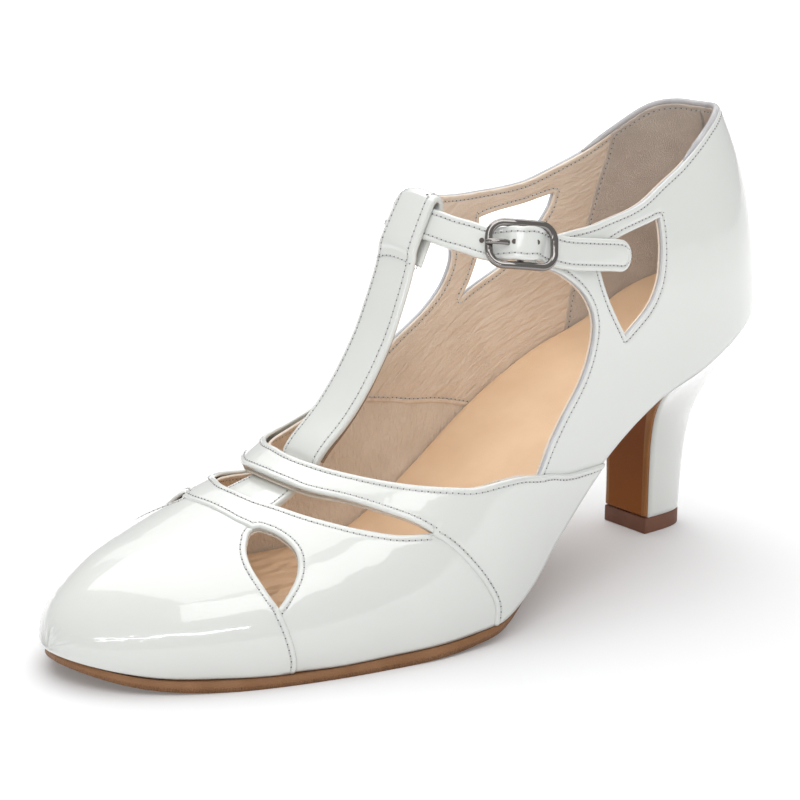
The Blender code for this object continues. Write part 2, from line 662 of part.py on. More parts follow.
def insole(holder, finish):
    """Insole board inside the upper's wall."""
    share = end_shares(0.0004, 0.9996, 34)
    inset = np.full(len(share), -(WALL + FIT_GAP + 0.0006))
    left = feather_plan(share, 1.0, inset)
    right = feather_plan(share, -1.0, inset)
    foot = table(LAST, share)[:, 0] * HEEL_HEIGHT
    return lofted_slab("insole", left, right, foot + INSOLE_THICK, foot + 0.0001, holder, finish)


def outsole(holder, finish):
    """Sole with a flat tread at the ball, toe spring in front and a thin waist behind."""
    share = end_shares(BREAST_SHARE + 0.012, 0.9998, 40)
    row = table(SOLE, share)
    left = feather_plan(share, 1.0, row[:, 0] / 1000)
    right = feather_plan(share, -1.0, row[:, 1] / 1000)
    top = table(LAST, share)[:, 0] * HEEL_HEIGHT - SEAT_GAP
    bottom = np.maximum(top - SOLE_THICK * row[:, 2], 0.0)
    return lofted_slab("outsole", left, right, top, bottom, holder, finish, across=4)


def tread_plan(count):
    """The tread's D plan: count points from the outer front corner round the back."""
    angle = np.linspace(0, np.pi, count)
    x = TREAD_HALF_WIDTH * np.sign(np.cos(angle)) * np.abs(np.cos(angle)) ** 0.62
    y = TREAD_FRONT + (TREAD_BACK - TREAD_FRONT) * np.sin(angle) ** 0.62
    return np.column_stack([x, y])


def seat_plan(count):
    """The heel's top edge: from the outer breast corner round the back to the inner one."""
    half = count // 2
    share = end_shares(BREAST_SHARE, 0.0, half + 1)
    outer = feather_plan(share, 1.0, np.full(len(share), -0.0001))
    inner = feather_plan(share, -1.0, np.full(len(share), -0.0001))[::-1]
    return np.concatenate([outer, inner[1:]])


def heel_ring(level, seat, tread, low):
    """The heel's outline at a level from 0 at the top piece to 1 at the seat."""
    flare = table(HEEL_FLARE, np.array(level))
    place = np.sin(np.linspace(0, np.pi, len(seat))) ** 0.8
    spread = flare[0] * place + flare[1] * (1 - place)
    ring = np.zeros((len(seat), 3))
    ring[:, :2] = tread + (seat[:, :2] - tread) * spread[:, None]
    high = seat[:, 2] - SEAT_GAP
    ring[:, 2] = low + (high - low) * level
    return ring


def breast_line(ring, count):
    """Straight across the breast, from the inner corner back to the outer one."""
    blend = np.linspace(0, 1, count)[1:-1, None]
    return ring[-1] * (1 - blend) + ring[0] * blend


def heel(holder, finish):
    """The covered heel block."""
    count = 31
    seat, tread = seat_plan(count), tread_plan(count)
    levels = np.linspace(0, 1, 13) ** 0.9
    outline = [heel_ring(level, seat, tread, TOP_PIECE_THICK + FIT_GAP) for level in levels]
    rings = [np.concatenate([ring, breast_line(ring, 5)]) for ring in outline]
    size = len(rings[0])
    faces = []
    for i in range(len(rings) - 1):
        for j in range(size):
            k = (j + 1) % size
            faces.append((i * size + j, i * size + k, (i + 1) * size + k, (i + 1) * size + j))
    faces.append(tuple(range(size))[::-1])
    base = (len(rings) - 1) * size
    for j in range(count // 2):
        other = count - 1 - j
        if other - j <= 2:
            faces.append((base + j, base + j + 1, base + other))
            break
        if j == 0:
            continue
        faces.append((base + j, base + j + 1, base + other - 1, base + other))
    first = [base + 1, base + count - 2, base + count - 1] + [base + k for k in range(count, size)] + [base]
    faces.append(tuple(first))
    made = mesh_object("heel", np.concatenate(rings), faces, holder, finish)
    tidy_mesh(made)
    return made


def breast_cover(holder, finish):
    """The sole's leather carried down over the front of the heel."""
    seat, tread = seat_plan(31), tread_plan(31)
    rings = []
    for level in np.linspace(0.012, 0.93, 16):
        ring = heel_ring(level, seat, tread, TOP_PIECE_THICK + FIT_GAP)
        outer, inner = ring[0], ring[-1]
        blend = np.linspace(0.015, 0.985, 5)[:, None]
        back = outer * (1 - blend) + inner * blend
        back[:, 1] -= FIT_GAP
        front = back.copy()[::-1]
        front[:, 1] -= BREAST_COVER_THICK
        rings.append(np.concatenate([back, front]))
    return skin("breast_cover", rings, holder, finish)


def top_piece(holder, finish):
    """The rubber tread under the heel, a little proud of the breast."""
    plan = tread_plan(31)
    plan[:, 1] = np.where(plan[:, 1] < TREAD_FRONT + 1e-5, TREAD_FRONT - 0.0012, plan[:, 1])
    low = np.column_stack([plan, np.zeros(len(plan))])
    high = low + np.array([0, 0, TOP_PIECE_THICK])
    return skin("top_piece", [low, high], holder, finish)


def main():
    clear_scene()
    shoe = collection("t_strap_shoe")
    cutters = collection("cutters", cutters=True)
    patent = material("white_patent", (0.86, 0.87, 0.86), 0.08, coat=1.0)
    lining = material("tan_leather", (0.69, 0.50, 0.33), 0.55)
    sole_finish = material("brown_sole", (0.27, 0.15, 0.08), 0.5)
    breast_finish = material("brown_breast", (0.16, 0.06, 0.02), 0.3)
    rubber = material("brown_rubber", (0.20, 0.10, 0.06), 0.6)
    metal = material("dark_nickel", (0.35, 0.35, 0.36), 0.15, metallic=1.0)
    upper(shoe, cutters, patent)
    insole(shoe, lining)
    outsole(shoe, sole_finish)
    heel(shoe, patent.copy())
    breast_cover(shoe, breast_finish)
    top_piece(shoe, rubber)
    t_bar(shoe, patent.copy())
    ankle_strap(shoe, cutters, patent.copy())
    buckle_frame(shoe, cutters, metal)
    buckle_prong(shoe, metal.copy())
    buckle_chape(shoe, cutters, patent.copy())
    for thing in cutters.objects:
        thing.hide_render = True
        thing.display_type = "WIRE"


main()
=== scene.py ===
"""The look of the white patent T-strap shoe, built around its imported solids.

Metres, +Z up. The toe points to -Y and the outer side of the foot is +X. Every leather piece
is drawn as an outline on the last, by its station along the last and its share down from the
ridge, and is then laid over it at its own height.
"""

import bmesh
import bpy
import numpy as np
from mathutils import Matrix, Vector, geometry, kdtree


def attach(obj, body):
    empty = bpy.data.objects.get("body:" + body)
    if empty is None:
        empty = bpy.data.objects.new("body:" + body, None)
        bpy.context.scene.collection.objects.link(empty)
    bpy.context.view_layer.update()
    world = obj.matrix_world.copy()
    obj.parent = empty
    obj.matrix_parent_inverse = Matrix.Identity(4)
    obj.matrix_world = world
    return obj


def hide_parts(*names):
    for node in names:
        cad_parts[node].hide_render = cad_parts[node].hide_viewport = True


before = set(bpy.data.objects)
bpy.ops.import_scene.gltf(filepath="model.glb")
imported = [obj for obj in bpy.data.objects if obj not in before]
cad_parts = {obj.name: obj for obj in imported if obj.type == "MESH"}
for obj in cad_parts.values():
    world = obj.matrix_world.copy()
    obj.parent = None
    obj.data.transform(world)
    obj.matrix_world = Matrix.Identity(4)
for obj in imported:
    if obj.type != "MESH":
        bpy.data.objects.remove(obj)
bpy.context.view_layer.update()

# Sizes of the last
LENGTH = 0.2235
BALL_WIDTH = 0.0790
HEEL_HEIGHT = 0.0630
TOP_HEIGHT = 0.1370
BACK_Y = 0.0280
CENTRE_X = 0.0015
TOE_SWING = 0.0060
HEEL_ROUND = 0.1185
HEEL_DRAW = 0.0580
TOE_ROUND = 0.30
NOSE_SHARE = 0.12
BACK_LEAN = 0.0624
HEEL_PINCH = 0.32
HEEL_TURN = 0.10
TOE_TURN = 0.10
WHOLE = 1.0 + (HEEL_TURN + TOE_TURN) / 2

# Sizes of the pieces
PATENT_THICK = 0.0011
LINING_THICK = 0.0007
WALL = 0.0018
LAP_STEP = 0.0005
FIT_GAP = 0.0003
SEAT_GAP = 0.0005
INSOLE_THICK = 0.0026
SOLE_THICK = 0.0030
TOP_PIECE_THICK = 0.0048
TREAD_HALF_WIDTH = 0.0085
TREAD_FRONT = -0.0080
TREAD_BACK = 0.0085
BREAST_SHARE = 0.226
BREAST_COVER_THICK = 0.0011
TBAR_THICK = 0.0015
STRAP_THICK = 0.0016
STRAP_WIDTH = 0.0083
CHAPE_THICK = 0.0008
CHAPE_HALF = 0.0012
BUCKLE_LENGTH = 0.0190
BUCKLE_WIDTH = 0.0126
HOLE_RADIUS = 0.00062
FRAME_RADIUS = 0.00095
BAR_RADIUS = 0.0008
FRAME_LIFT = 0.0034
FRAME_BOW = 0.0009
FRAME_CORNER = 0.0038
BAR_LIFT = 0.0013
PRONG_RADIUS = 0.00055
STITCH_INSET = 0.00145
STITCH_PITCH = 0.00150
STITCH_LENGTH = 0.00096
THREAD_RADIUS = 0.00024
TURN_UNDER = 0.0004
RIM_RADIUS = 0.00085

# The camera: degrees round from the toe and up, distance, where it looks, and its focal length
# in widths of the picture
CAMERA_ROUND = 52.0
CAMERA_ABOVE = 15.3
CAMERA_DISTANCE = 0.5247
CAMERA_TARGET = (-0.0031, -0.0900, 0.0515)
FOCAL_WIDTHS = 1995 / 800
SENSOR = 36.0

# The flat chart of the last, in centimetres
CHART_LONG = 22.35
CHART_WIDE = 10.0

# Columns: share of the length from the heel, height of the feather edge in heel heights,
# outer and inner half width in ball widths, ridge height in top heights, flat share of the
# ridge, bulge of the side wall
LAST = (
    (0.00, 1.116, 0.301, 0.313, 1.120, 0.439, 0.067),
    (0.08, 1.003, 0.323, 0.317, 1.038, 0.447, 0.068),
    (0.16, 0.873, 0.349, 0.324, 0.992, 0.437, 0.059),
    (0.25, 0.764, 0.364, 0.333, 0.981, 0.374, 0.057),
    (0.35, 0.578, 0.405, 0.338, 0.992, 0.244, 0.068),
    (0.45, 0.326, 0.471, 0.340, 0.928, 0.110, 0.069),
    (0.50, 0.193, 0.516, 0.355, 0.825, 0.000, 0.065),
    (0.55, 0.100, 0.545, 0.373, 0.676, 0.000, 0.062),
    (0.59, 0.075, 0.542, 0.405, 0.522, 0.000, 0.062),
    (0.64, 0.064, 0.534, 0.436, 0.400, 0.000, 0.061),
    (0.70, 0.058, 0.504, 0.474, 0.317, 0.000, 0.073),
    (0.78, 0.052, 0.473, 0.489, 0.265, 0.000, 0.089),
    (0.86, 0.057, 0.452, 0.469, 0.223, 0.000, 0.103),
    (0.93, 0.071, 0.442, 0.423, 0.195, 0.000, 0.109),
    (1.00, 0.121, 0.440, 0.380, 0.177, 0.000, 0.114),
)

# Columns: share of the length, how far the sole stands out from the feather edge in
# millimetres on the outer side, on the inner side, thickness as a share of SOLE_THICK
SOLE = (
    (0.22, -1.6, -1.6, 0.62),
    (0.34, -2.0, -2.2, 0.66),
    (0.44, -1.8, -2.2, 0.70),
    (0.50, -0.8, -1.6, 0.78),
    (0.56, 0.6, -0.2, 0.90),
    (0.62, 1.2, 0.8, 1.02),
    (0.74, 1.2, 1.0, 1.10),
    (0.86, 1.1, 0.9, 1.02),
    (0.95, 0.4, -0.4, 0.92),
    (1.00, -1.2, -1.2, 0.86),
)

# Columns: share of the height from tread to seat, share of the way from the tread's plan to
# the seat's plan at the back, and at the breast
HEEL_FLARE = (
    (0.00, 0.000, 0.000),
    (0.22, 0.035, 0.000),
    (0.40, 0.105, 0.015),
    (0.50, 0.185, 0.045),
    (0.60, 0.330, 0.110),
    (0.70, 0.510, 0.220),
    (0.80, 0.690, 0.400),
    (0.90, 0.860, 0.660),
    (1.00, 1.000, 1.000),
)

# Outlines on the last. Columns: station along the last, share down from the ridge (outer side
# positive), 1 where the outline turns a corner
COLLAR = (
    (-0.060, 0.522, 1), (0.000, 0.556, 0), (0.045, 0.542, 0), (0.095, 0.510, 0), (0.140, 0.490, 0),
    (0.190, 0.488, 0), (0.250, 0.511, 0), (0.330, 0.551, 0), (0.402, 0.549, 0), (0.463, 0.507, 0),
    (0.511, 0.460, 1), (0.517, 0.480, 0), (0.511, 0.515, 1), (0.494, 0.538, 0), (0.464, 0.596, 0),
    (0.436, 0.662, 0), (0.423, 0.719, 0), (0.428, 0.762, 0), (0.448, 0.797, 0), (0.490, 0.816, 0),
    (0.534, 0.836, 1), (0.555, 0.800, 0), (0.616, 0.685, 0), (0.655, 0.572, 0), (0.688, 0.453, 0),
    (0.715, 0.328, 0), (0.736, 0.192, 0), (0.745, 0.087, 0), (0.747, 0.000, 0), (0.743, -0.088, 0),
    (0.734, -0.200, 0), (0.713, -0.330, 0), (0.684, -0.450, 0), (0.645, -0.560, 0), (0.604, -0.645, 0),
    (0.552, -0.700, 0), (0.488, -0.720, 0), (0.448, -0.707, 0), (0.431, -0.669, 0), (0.435, -0.622, 0),
    (0.465, -0.560, 0), (0.530, -0.420, 0), (0.555, -0.345, 0), (0.578, -0.205, 0), (0.590, -0.050, 0),
    (0.591, -0.006, 1), (0.572, -0.006, 1), (0.571, -0.050, 0), (0.561, -0.190, 0), (0.538, -0.320, 0),
    (0.514, -0.394, 0), (0.456, -0.489, 0), (0.391, -0.542, 0), (0.324, -0.552, 0), (0.225, -0.524, 0),
    (0.138, -0.515, 0), (0.092, -0.517, 0), (0.045, -0.541, 0), (0.000, -0.556, 0), (-0.060, -0.522, 1),
)
TEARDROP = (
    (0.862, 0.645, 1), (0.850, 0.596, 0), (0.835, 0.532, 0), (0.825, 0.462, 0), (0.822, 0.404, 0),
    (0.825, 0.333, 0), (0.832, 0.265, 0), (0.842, 0.224, 0), (0.855, 0.262, 0), (0.864, 0.320, 0),
    (0.869, 0.412, 0), (0.867, 0.548, 0),
)
BAND_GAP_HALF = (
    (0.779, 0.000, 0), (0.777, 0.090, 0), (0.770, 0.188, 0), (0.748, 0.315, 0), (0.723, 0.449, 0),
    (0.701, 0.553, 0), (0.684, 0.637, 1), (0.719, 0.556, 0), (0.740, 0.490, 0), (0.763, 0.406, 0),
    (0.790, 0.282, 0), (0.807, 0.162, 0), (0.814, 0.090, 0), (0.816, 0.000, 0),
)
OUTER_TRIANGLE = (
    (0.289, 0.602, 1), (0.288, 0.640, 0), (0.291, 0.697, 0), (0.300, 0.748, 0), (0.321, 0.784, 0),
    (0.366, 0.806, 1), (0.394, 0.715, 0), (0.408, 0.645, 0), (0.410, 0.606, 1), (0.360, 0.602, 0),
)
INNER_TRIANGLE = (
    (0.390, -0.604, 1), (0.330, -0.608, 0), (0.262, -0.608, 1), (0.270, -0.650, 0), (0.298, -0.705, 0),
    (0.343, -0.745, 0), (0.412, -0.760, 1), (0.398, -0.735, 0), (0.386, -0.680, 0),
)

# Seams between the pieces, from the feather edge up
TOE_SEAM_LOW = ((0.849, 1.000, 1), (0.850, 0.940, 0), (0.855, 0.820, 0), (0.860, 0.700, 0),
                (0.8617, 0.646, 1))
TOE_UNDER_BAND = ((0.845, 0.450, 1), (0.830, 0.240, 1), (0.832, 0.132, 0), (0.832, -0.132, 0),
                  (0.830, -0.240, 1), (0.845, -0.450, 1))
WING_UNDER_TOE = ((0.866, 1.000, 1), (0.871, 0.820, 0), (0.876, 0.700, 0), (0.868, 0.600, 1),
                  (0.850, 0.420, 1), (0.842, 0.240, 1))
BAND_FRONT = ((0.842, 0.240, 1), (0.8455, 0.186, 0), (0.849, 0.132, 0), (0.8505, 0.000, 0),
              (0.849, -0.132, 0), (0.8455, -0.186, 0), (0.842, -0.240, 1))
WING_UNDER_REAR = ((0.594, 1.000, 1), (0.609, 0.900, 0), (0.631, 0.806, 0), (0.656, 0.690, 0),
                   (0.686, 0.632, 1), (0.700, 0.590, 1), (0.731, 0.470, 0), (0.769, 0.300, 0),
                   (0.793, 0.140, 0), (0.797, 0.000, 0))
REAR_FRONT = ((0.613, 1.000, 1), (0.614, 0.960, 0), (0.627, 0.900, 0), (0.649, 0.806, 0), (0.674, 0.690, 0),
              (0.688, 0.630, 1), (0.700, 0.590, 1), (0.731, 0.470, 0), (0.769, 0.300, 0),
              (0.793, 0.140, 0), (0.797, 0.000, 0))
REAR_BACK_OUTER = ((0.534, 0.836, 1), (0.488, 0.905, 0), (0.442, 0.960, 0), (0.403, 1.000, 1))
REAR_BACK_INNER = ((0.403, -1.000, 1), (0.470, -0.880, 0), (0.520, -0.780, 0), (0.552, -0.702, 1))
THROAT_VOID = ((0.590, -0.610, 1), (0.650, -0.450, 1), (0.700, -0.200, 1), (0.712, 0.000, 1),
               (0.700, 0.200, 1), (0.650, 0.450, 1), (0.600, 0.620, 1), (0.545, 0.775, 1))
GRIP_SEAM = ((0.154, 0.480, 1), (0.160, 0.540, 0), (0.186, 0.650, 0), (0.206, 0.760, 0), (0.226, 0.880, 0),
             (0.240, 1.000, 1))

LINING_SEAM = ((0.620, 0.620, 1), (0.587, 0.703, 0), (0.564, 0.752, 0), (0.504, 0.852, 0), (0.446, 0.924, 0),
               (0.390, 1.000, 1))

# Columns: station, share down from the ridge, height of the strap's middle over the last in
# millimetres
STRAP_PATH = (
    (0.5810, 0.010, -0.9), (0.5805, 0.080, -0.9), (0.5750, 0.180, -0.6), (0.5640, 0.275, 0.4),
    (0.5540, 0.335, 1.2), (0.5435, 0.375, 2.8), (0.5360, 0.400, 4.6), (0.5280, 0.425, 5.0),
    (0.5180, 0.448, 4.3), (0.5020, 0.485, 2.0), (0.4880, 0.510, 1.25), (0.4600, 0.553, 1.2),
    (0.4180, 0.600, 1.3), (0.3800, 0.634, 1.3), (0.3620, 0.648, 1.3),
)
# Columns: station, share down from the ridge, height of the strap's middle in millimetres
STRAP_HOLES = ((0.5590, 0.307, 0.95), (0.5365, 0.398, 4.65), (0.5160, 0.452, 4.12))
# Columns: station, height of the strip's middle over the last in millimetres, width in
# millimetres
TBAR_LINING_PATH = (
    (0.6040, -1.70, 14.2), (0.6200, -1.80, 14.6), (0.6500, -1.85, 15.0), (0.6900, -1.85, 15.2),
    (0.7180, -1.85, 15.4), (0.7330, -2.60, 15.8),
)
TBAR_PATH = (
    (0.8470, -3.00, 24.0), (0.8180, -3.00, 24.0), (0.7980, -2.95, 23.0), (0.7780, -3.00, 20.5),
    (0.7450, -2.95, 16.5), (0.7330, -1.60, 15.6), (0.7180, -0.75, 15.0), (0.6900, -0.75, 14.6),
    (0.6550, -0.75, 14.0), (0.6280, -0.75, 13.5), (0.6100, -0.60, 13.0), (0.6000, 0.15, 12.7),
    (0.5940, 0.90, 12.5), (0.5710, 0.95, 12.4), (0.5680, 0.75, 12.4), (0.5660, 0.20, 12.4),
    (0.5652, -0.90, 12.4), (0.5660, -2.00, 12.4), (0.5680, -2.60, 12.4), (0.5710, -2.80, 12.4),
    (0.5850, -2.85, 12.4), (0.6020, -2.90, 12.4),
)

# How a piece's face falls away to its edge. Columns: distance from the edge and height over
# the piece's face, both in millimetres
FOLDED_EDGE = ((0.00, -0.40), (0.10, -0.17), (0.28, -0.02), (0.60, 0.07), (1.00, 0.03), (1.45, -0.15),
               (1.90, -0.05), (2.60, 0.00))
CUT_EDGE = ((0.00, -0.16), (0.10, -0.04), (0.28, 0.01), (0.60, 0.04), (1.00, 0.02), (1.45, -0.19),
            (1.90, -0.04), (2.60, 0.00))
PLAIN_EDGE = ((0.00, -0.14), (0.10, -0.05), (0.28, 0.00), (2.60, 0.00))
# Distances from an edge, in millimetres, where a piece has a ring of points, and the one that is sewn
RING_STEPS = (0.10, 0.28, 0.60, 1.00, 1.45, 1.90, 2.60)
SEW_STEP = 1.45
# Shares and distances that keep the points of a piece apart
RING_KEEPS = 0.93
GRID_CLEAR = 0.0033
POINTS_APART = 0.00008
FAR_FROM_EDGE = 9.0
# Share of a thread's radius that its middle lies over the leather
THREAD_PROUD = 0.35


def table(rows, at):
    """The columns of a table after its first, smoothly interpolated at these values."""
    rows = np.array(rows, float)
    x, y = rows[:, 0], rows[:, 1:]
    slope = np.zeros_like(y)
    slope[1:-1] = (y[2:] - y[:-2]) / (x[2:] - x[:-2])[:, None]
    slope[0] = (y[1] - y[0]) / (x[1] - x[0])
    slope[-1] = (y[-1] - y[-2]) / (x[-1] - x[-2])
    at = np.clip(np.asarray(at, float), x[0], x[-1])
    k = np.clip(np.searchsorted(x, at, side="right") - 1, 0, len(x) - 2)
    step = (x[k + 1] - x[k])[..., None]
    t = (at - x[k])[..., None] / step
    start = (1 + 2 * t) * (1 - t) ** 2 * y[k] + t * (1 - t) ** 2 * step * slope[k]
    end = t * t * (3 - 2 * t) * y[k + 1] + t * t * (t - 1) * step * slope[k + 1]
    return start + end


def smooth_step(value, low, high):
    t = np.clip((np.asarray(value, float) - low) / (high - low), 0, 1)
    return t * t * (3 - 2 * t)


def share_of(station):
    """Share of the length at a station. Stations run evenly round the heel and the toe too."""
    station = np.clip(station, 0, WHOLE)
    left = WHOLE - station
    heel = station * station / (2 * HEEL_TURN)
    toe = 1 - left * left / (2 * TOE_TURN)
    return np.where(station < HEEL_TURN, heel, np.where(left < TOE_TURN, toe, station - HEEL_TURN / 2))


def station_of(share):
    """The station at a share of the length."""
    share = np.asarray(share, float)
    heel = np.sqrt(2 * HEEL_TURN * np.maximum(share, 0))
    toe = WHOLE - np.sqrt(2 * TOE_TURN * np.maximum(1 - share, 0))
    ahead = np.where(1 - share < TOE_TURN / 2, toe, share + HEEL_TURN / 2)
    return np.where(share < HEEL_TURN / 2, heel, ahead)


def unit(vectors):
    return vectors / np.linalg.norm(vectors, axis=-1, keepdims=True)


def run_along(points):
    """Length of a line up to each of its points."""
    return np.concatenate([[0], np.cumsum(np.linalg.norm(np.diff(points, axis=0), axis=1))])


def last_point(station, down):
    """Points of the last. down is 0 on the ridge, 1 on the outer feather edge, -1 on the inner."""
    station, down = np.broadcast_arrays(np.asarray(station, float), np.asarray(down, float))
    down = np.where(station < 0, -down, down)
    share = share_of(np.abs(station))
    up = np.clip(1 - np.abs(down), 0, 1)
    row = table(LAST, share)
    foot = row[..., 0] * HEEL_HEIGHT
    half = np.where(down < 0, row[..., 2], row[..., 1]) * BALL_WIDTH
    toe = np.clip((share - 1 + TOE_ROUND) / TOE_ROUND, 0, 1)
    reach = HEEL_ROUND + HEEL_DRAW * up
    heel = np.clip((reach - share) / reach, 0, 1)
    half = half * (1 - toe**2.1) ** 0.5 * (1 - heel**2.2) ** (1 / 2.2)
    nose = np.clip((share - 1 + NOSE_SHARE) / NOSE_SHARE, 0, 1)
    tall = (row[..., 3] * TOP_HEIGHT - foot) * (1 - nose**2.2) ** 0.5
    low = 3 * up * (1 - up) ** 2
    high = 3 * up * up * (1 - up)
    wide = (1 - up) ** 3 + low * (1 + 1.6 * row[..., 5]) + 0.72 * high + row[..., 4] * up**3
    lean = np.clip(1 - share / 0.3, 0, 1) ** 1.5 * BACK_LEAN * up * up
    wide = wide * (1 - HEEL_PINCH * np.clip(1 - share / 0.3, 0, 1) * up * up * (3 - 2 * up))
    swing = CENTRE_X - TOE_SWING * np.clip((share - 0.5) / 0.5, 0, 1) ** 2
    x = swing + np.where(down < 0, -half, half) * wide
    y = BACK_Y - share * LENGTH - lean
    z = foot + tall * (0.5 * low + high + up**3)
    return np.stack([x, y, z], axis=-1)


def slopes(station, down):
    """How the last's point moves with the station and with the share down."""
    step = 0.002
    station, down = np.broadcast_arrays(np.asarray(station, float), np.asarray(down, float))
    inside = np.minimum(station, WHOLE - 2 * step)
    along = (last_point(inside + step, down) - last_point(inside - step, down)) / (2 * step)
    above = np.clip(down + step, -1, 1)
    below = np.clip(down - step, -1, 1)
    across = (last_point(inside, above) - last_point(inside, below)) / (above - below)[..., None]
    return along, across


def last_normal(station, down):
    """Outward direction of the last, straight ahead at the very toe."""
    along, across = slopes(station, down)
    normal = unit(np.cross(along, across))
    near = np.clip((WHOLE - np.asarray(station, float)) / 0.02, 0, 1)[..., None]
    return unit(normal * near + np.array([0.0, -1.0, 0.0]) * (1 - near))


def chart_point(points):
    """Points of the last at these chart points, held within its borders."""
    return last_point(np.clip(points[:, 0], 0, WHOLE), np.clip(points[:, 1], -1, 1))


def on_last(station, down, height):
    """Points at this height over the last."""
    return last_point(station, down) + last_normal(station, down) * np.asarray(height, float)[..., None]


def chart_shift(station, down, direction):
    """The change of station and share down that moves a point of the last along directions."""
    along, across = slopes(station, down)
    a = (along * along).sum(-1)
    b = (along * across).sum(-1)
    c = (across * across).sum(-1)
    u = (along * direction).sum(-1)
    v = (across * direction).sum(-1)
    whole = np.maximum(a * c - b * b, 1e-12)
    return np.stack([(c * u - b * v) / whole, (a * v - b * u) / whole], axis=-1)


def mirrored(rows):
    return tuple((station, -down, corner) for station, down, corner in reversed(rows))


def smooth_line(rows, closed=False, spacing=0.0009):
    """Close points of station and share down along an outline that is smooth between corners."""
    rows = np.array(rows, float)
    points = rows[:, :2] * (CHART_LONG, CHART_WIDE)
    corner = rows[:, 2] > 0
    real = chart_point(rows)
    count = len(points)
    pieces = []
    for i in range(count if closed else count - 1):
        j = (i + 1) % count
        start, end = points[i], points[j]
        gap = np.linalg.norm(end - start)
        leave, arrive = end - start, end - start
        if not corner[i] and (closed or i > 0):
            leave = (end - points[i - 1]) / np.linalg.norm(end - points[i - 1]) * gap
        if not corner[j] and (closed or j < count - 1):
            after = points[(j + 1) % count]
            arrive = (after - start) / np.linalg.norm(after - start) * gap
        steps = max(2, int(np.ceil(np.linalg.norm(real[j] - real[i]) / spacing)))
        t = (np.arange(steps) / steps)[:, None]
        curve = ((1 + 2 * t) * (1 - t) ** 2 * start + t * (1 - t) ** 2 * leave
                 + t * t * (3 - 2 * t) * end + t * t * (t - 1) * arrive)
        pieces.append(curve)
    if not closed:
        pieces.append(points[-1:])
    return np.concatenate(pieces) / (CHART_LONG, CHART_WIDE)


def inside(outline, points):
    """Which points lie within a closed outline."""
    found = np.zeros(len(points), bool)
    x, y = points[:, 0], points[:, 1]
    for (x0, y0), (x1, y1) in zip(outline, np.roll(outline, -1, axis=0)):
        if y0 == y1:
            continue
        crosses = (y0 > y) != (y1 > y)
        found[crosses] ^= x[crosses] < (x1 - x0) * (y[crosses] - y0) / (y1 - y0) + x0
    return found


def tree_of(points):
    tree = kdtree.KDTree(len(points))
    for number, point in enumerate(points):
        tree.insert(point, number)
    tree.balance()
    return tree


def distances(tree, points):
    return np.array([tree.find(point)[2] for point in points])


def link_object(name, data):
    made = bpy.data.objects.new(name, data)
    bpy.context.scene.collection.objects.link(made)
    return made


def new_object(name, points, faces, finishes, smooth=True):
    data = bpy.data.meshes.new(name)
    data.from_pydata([tuple(map(float, p)) for p in points], [], [tuple(map(int, f)) for f in faces])
    for finish in finishes:
        data.materials.append(finish)
    if smooth:
        data.shade_smooth()
    return link_object(name, data)


def keep_chart(made, chart):
    """Stores three numbers at each point of a piece, for its finish to read."""
    made.data.attributes.new("chart", "FLOAT_VECTOR", "POINT").data.foreach_set("vector", chart.ravel())


def close_mesh(made, merge=2e-6):
    """Joins points that coincide and turns every face outward."""
    work = bmesh.new()
    work.from_mesh(made.data)
    bmesh.ops.remove_doubles(work, verts=work.verts, dist=merge)
    bmesh.ops.dissolve_degenerate(work, edges=work.edges, dist=merge)
    bmesh.ops.recalc_face_normals(work, faces=work.faces)
    work.to_mesh(made.data)
    work.free()
    made.data.update()


def loft(name, rings, finishes, closed=False, slots=None, chart=None):
    """A skin through rings of points, capped at both ends unless it closes on itself."""
    count, size = len(rings), len(rings[0])
    faces = []
    for i in range(count if closed else count - 1):
        here, after = i * size, (i + 1) % count * size
        faces += [(here + j, here + (j + 1) % size, after + (j + 1) % size, after + j) for j in range(size)]
    if not closed:
        faces += [tuple(range(size))[::-1], tuple(range((count - 1) * size, count * size))]
    made = new_object(name, np.concatenate(rings), faces, finishes)
    if slots:
        made.data.polygons.foreach_set("material_index", slots)
    if chart is not None:
        keep_chart(made, chart)
    close_mesh(made)
    return made


def settle(piece, slot, *nodes):
    """Fastens a finished piece to the shoe and hides the imported parts that it takes the place of."""
    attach(piece, "root")
    if nodes:
        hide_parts(*nodes)


OPENINGS = [
    smooth_line(rows, closed=True)
    for rows in (COLLAR, TEARDROP, mirrored(TEARDROP), BAND_GAP_HALF + mirrored(BAND_GAP_HALF)[1:-1],
                 OUTER_TRIANGLE, INNER_TRIANGLE)
]


def border(*points):
    """A straight run of the chart's border or of a cut that another piece hides."""
    rows = [(station, down, 1) for station, down in points]
    return smooth_line(rows)


def piece_outline(parts):
    """One closed outline from its parts, and how each of its points ends the piece."""
    line, kinds = [], []
    for points, kind in parts:
        line.append(points[:-1])
        kinds += [kind] * (len(points) - 1)
    return np.concatenate(line), np.array(kinds)


def chart_grid():
    """Evenly spread points of the chart."""
    station = np.concatenate([np.arange(0.0028, 1.03, 0.0055), np.arange(1.03, WHOLE - 0.001, 0.003)])
    rows = []
    for number, at in enumerate(station):
        girth = run_along(last_point(np.full(9, at), np.linspace(0, 1, 9)))[-1]
        count = max(4, int(girth / 0.00125))
        down = (np.arange(count) + (0.25 if number % 2 else 0.75)) / count
        down = down[down < 0.948]
        rows.append(np.column_stack([np.full(2 * len(down), at), np.concatenate([down, -down])]))
    for down in (0.992, 0.979, 0.962):
        at = np.arange(0.002, WHOLE - 0.001, 0.004)
        for side in (1, -1):
            rows.append(np.column_stack([at, np.full(len(at), side * down)]))
    return np.concatenate(rows)


GRID = chart_grid()


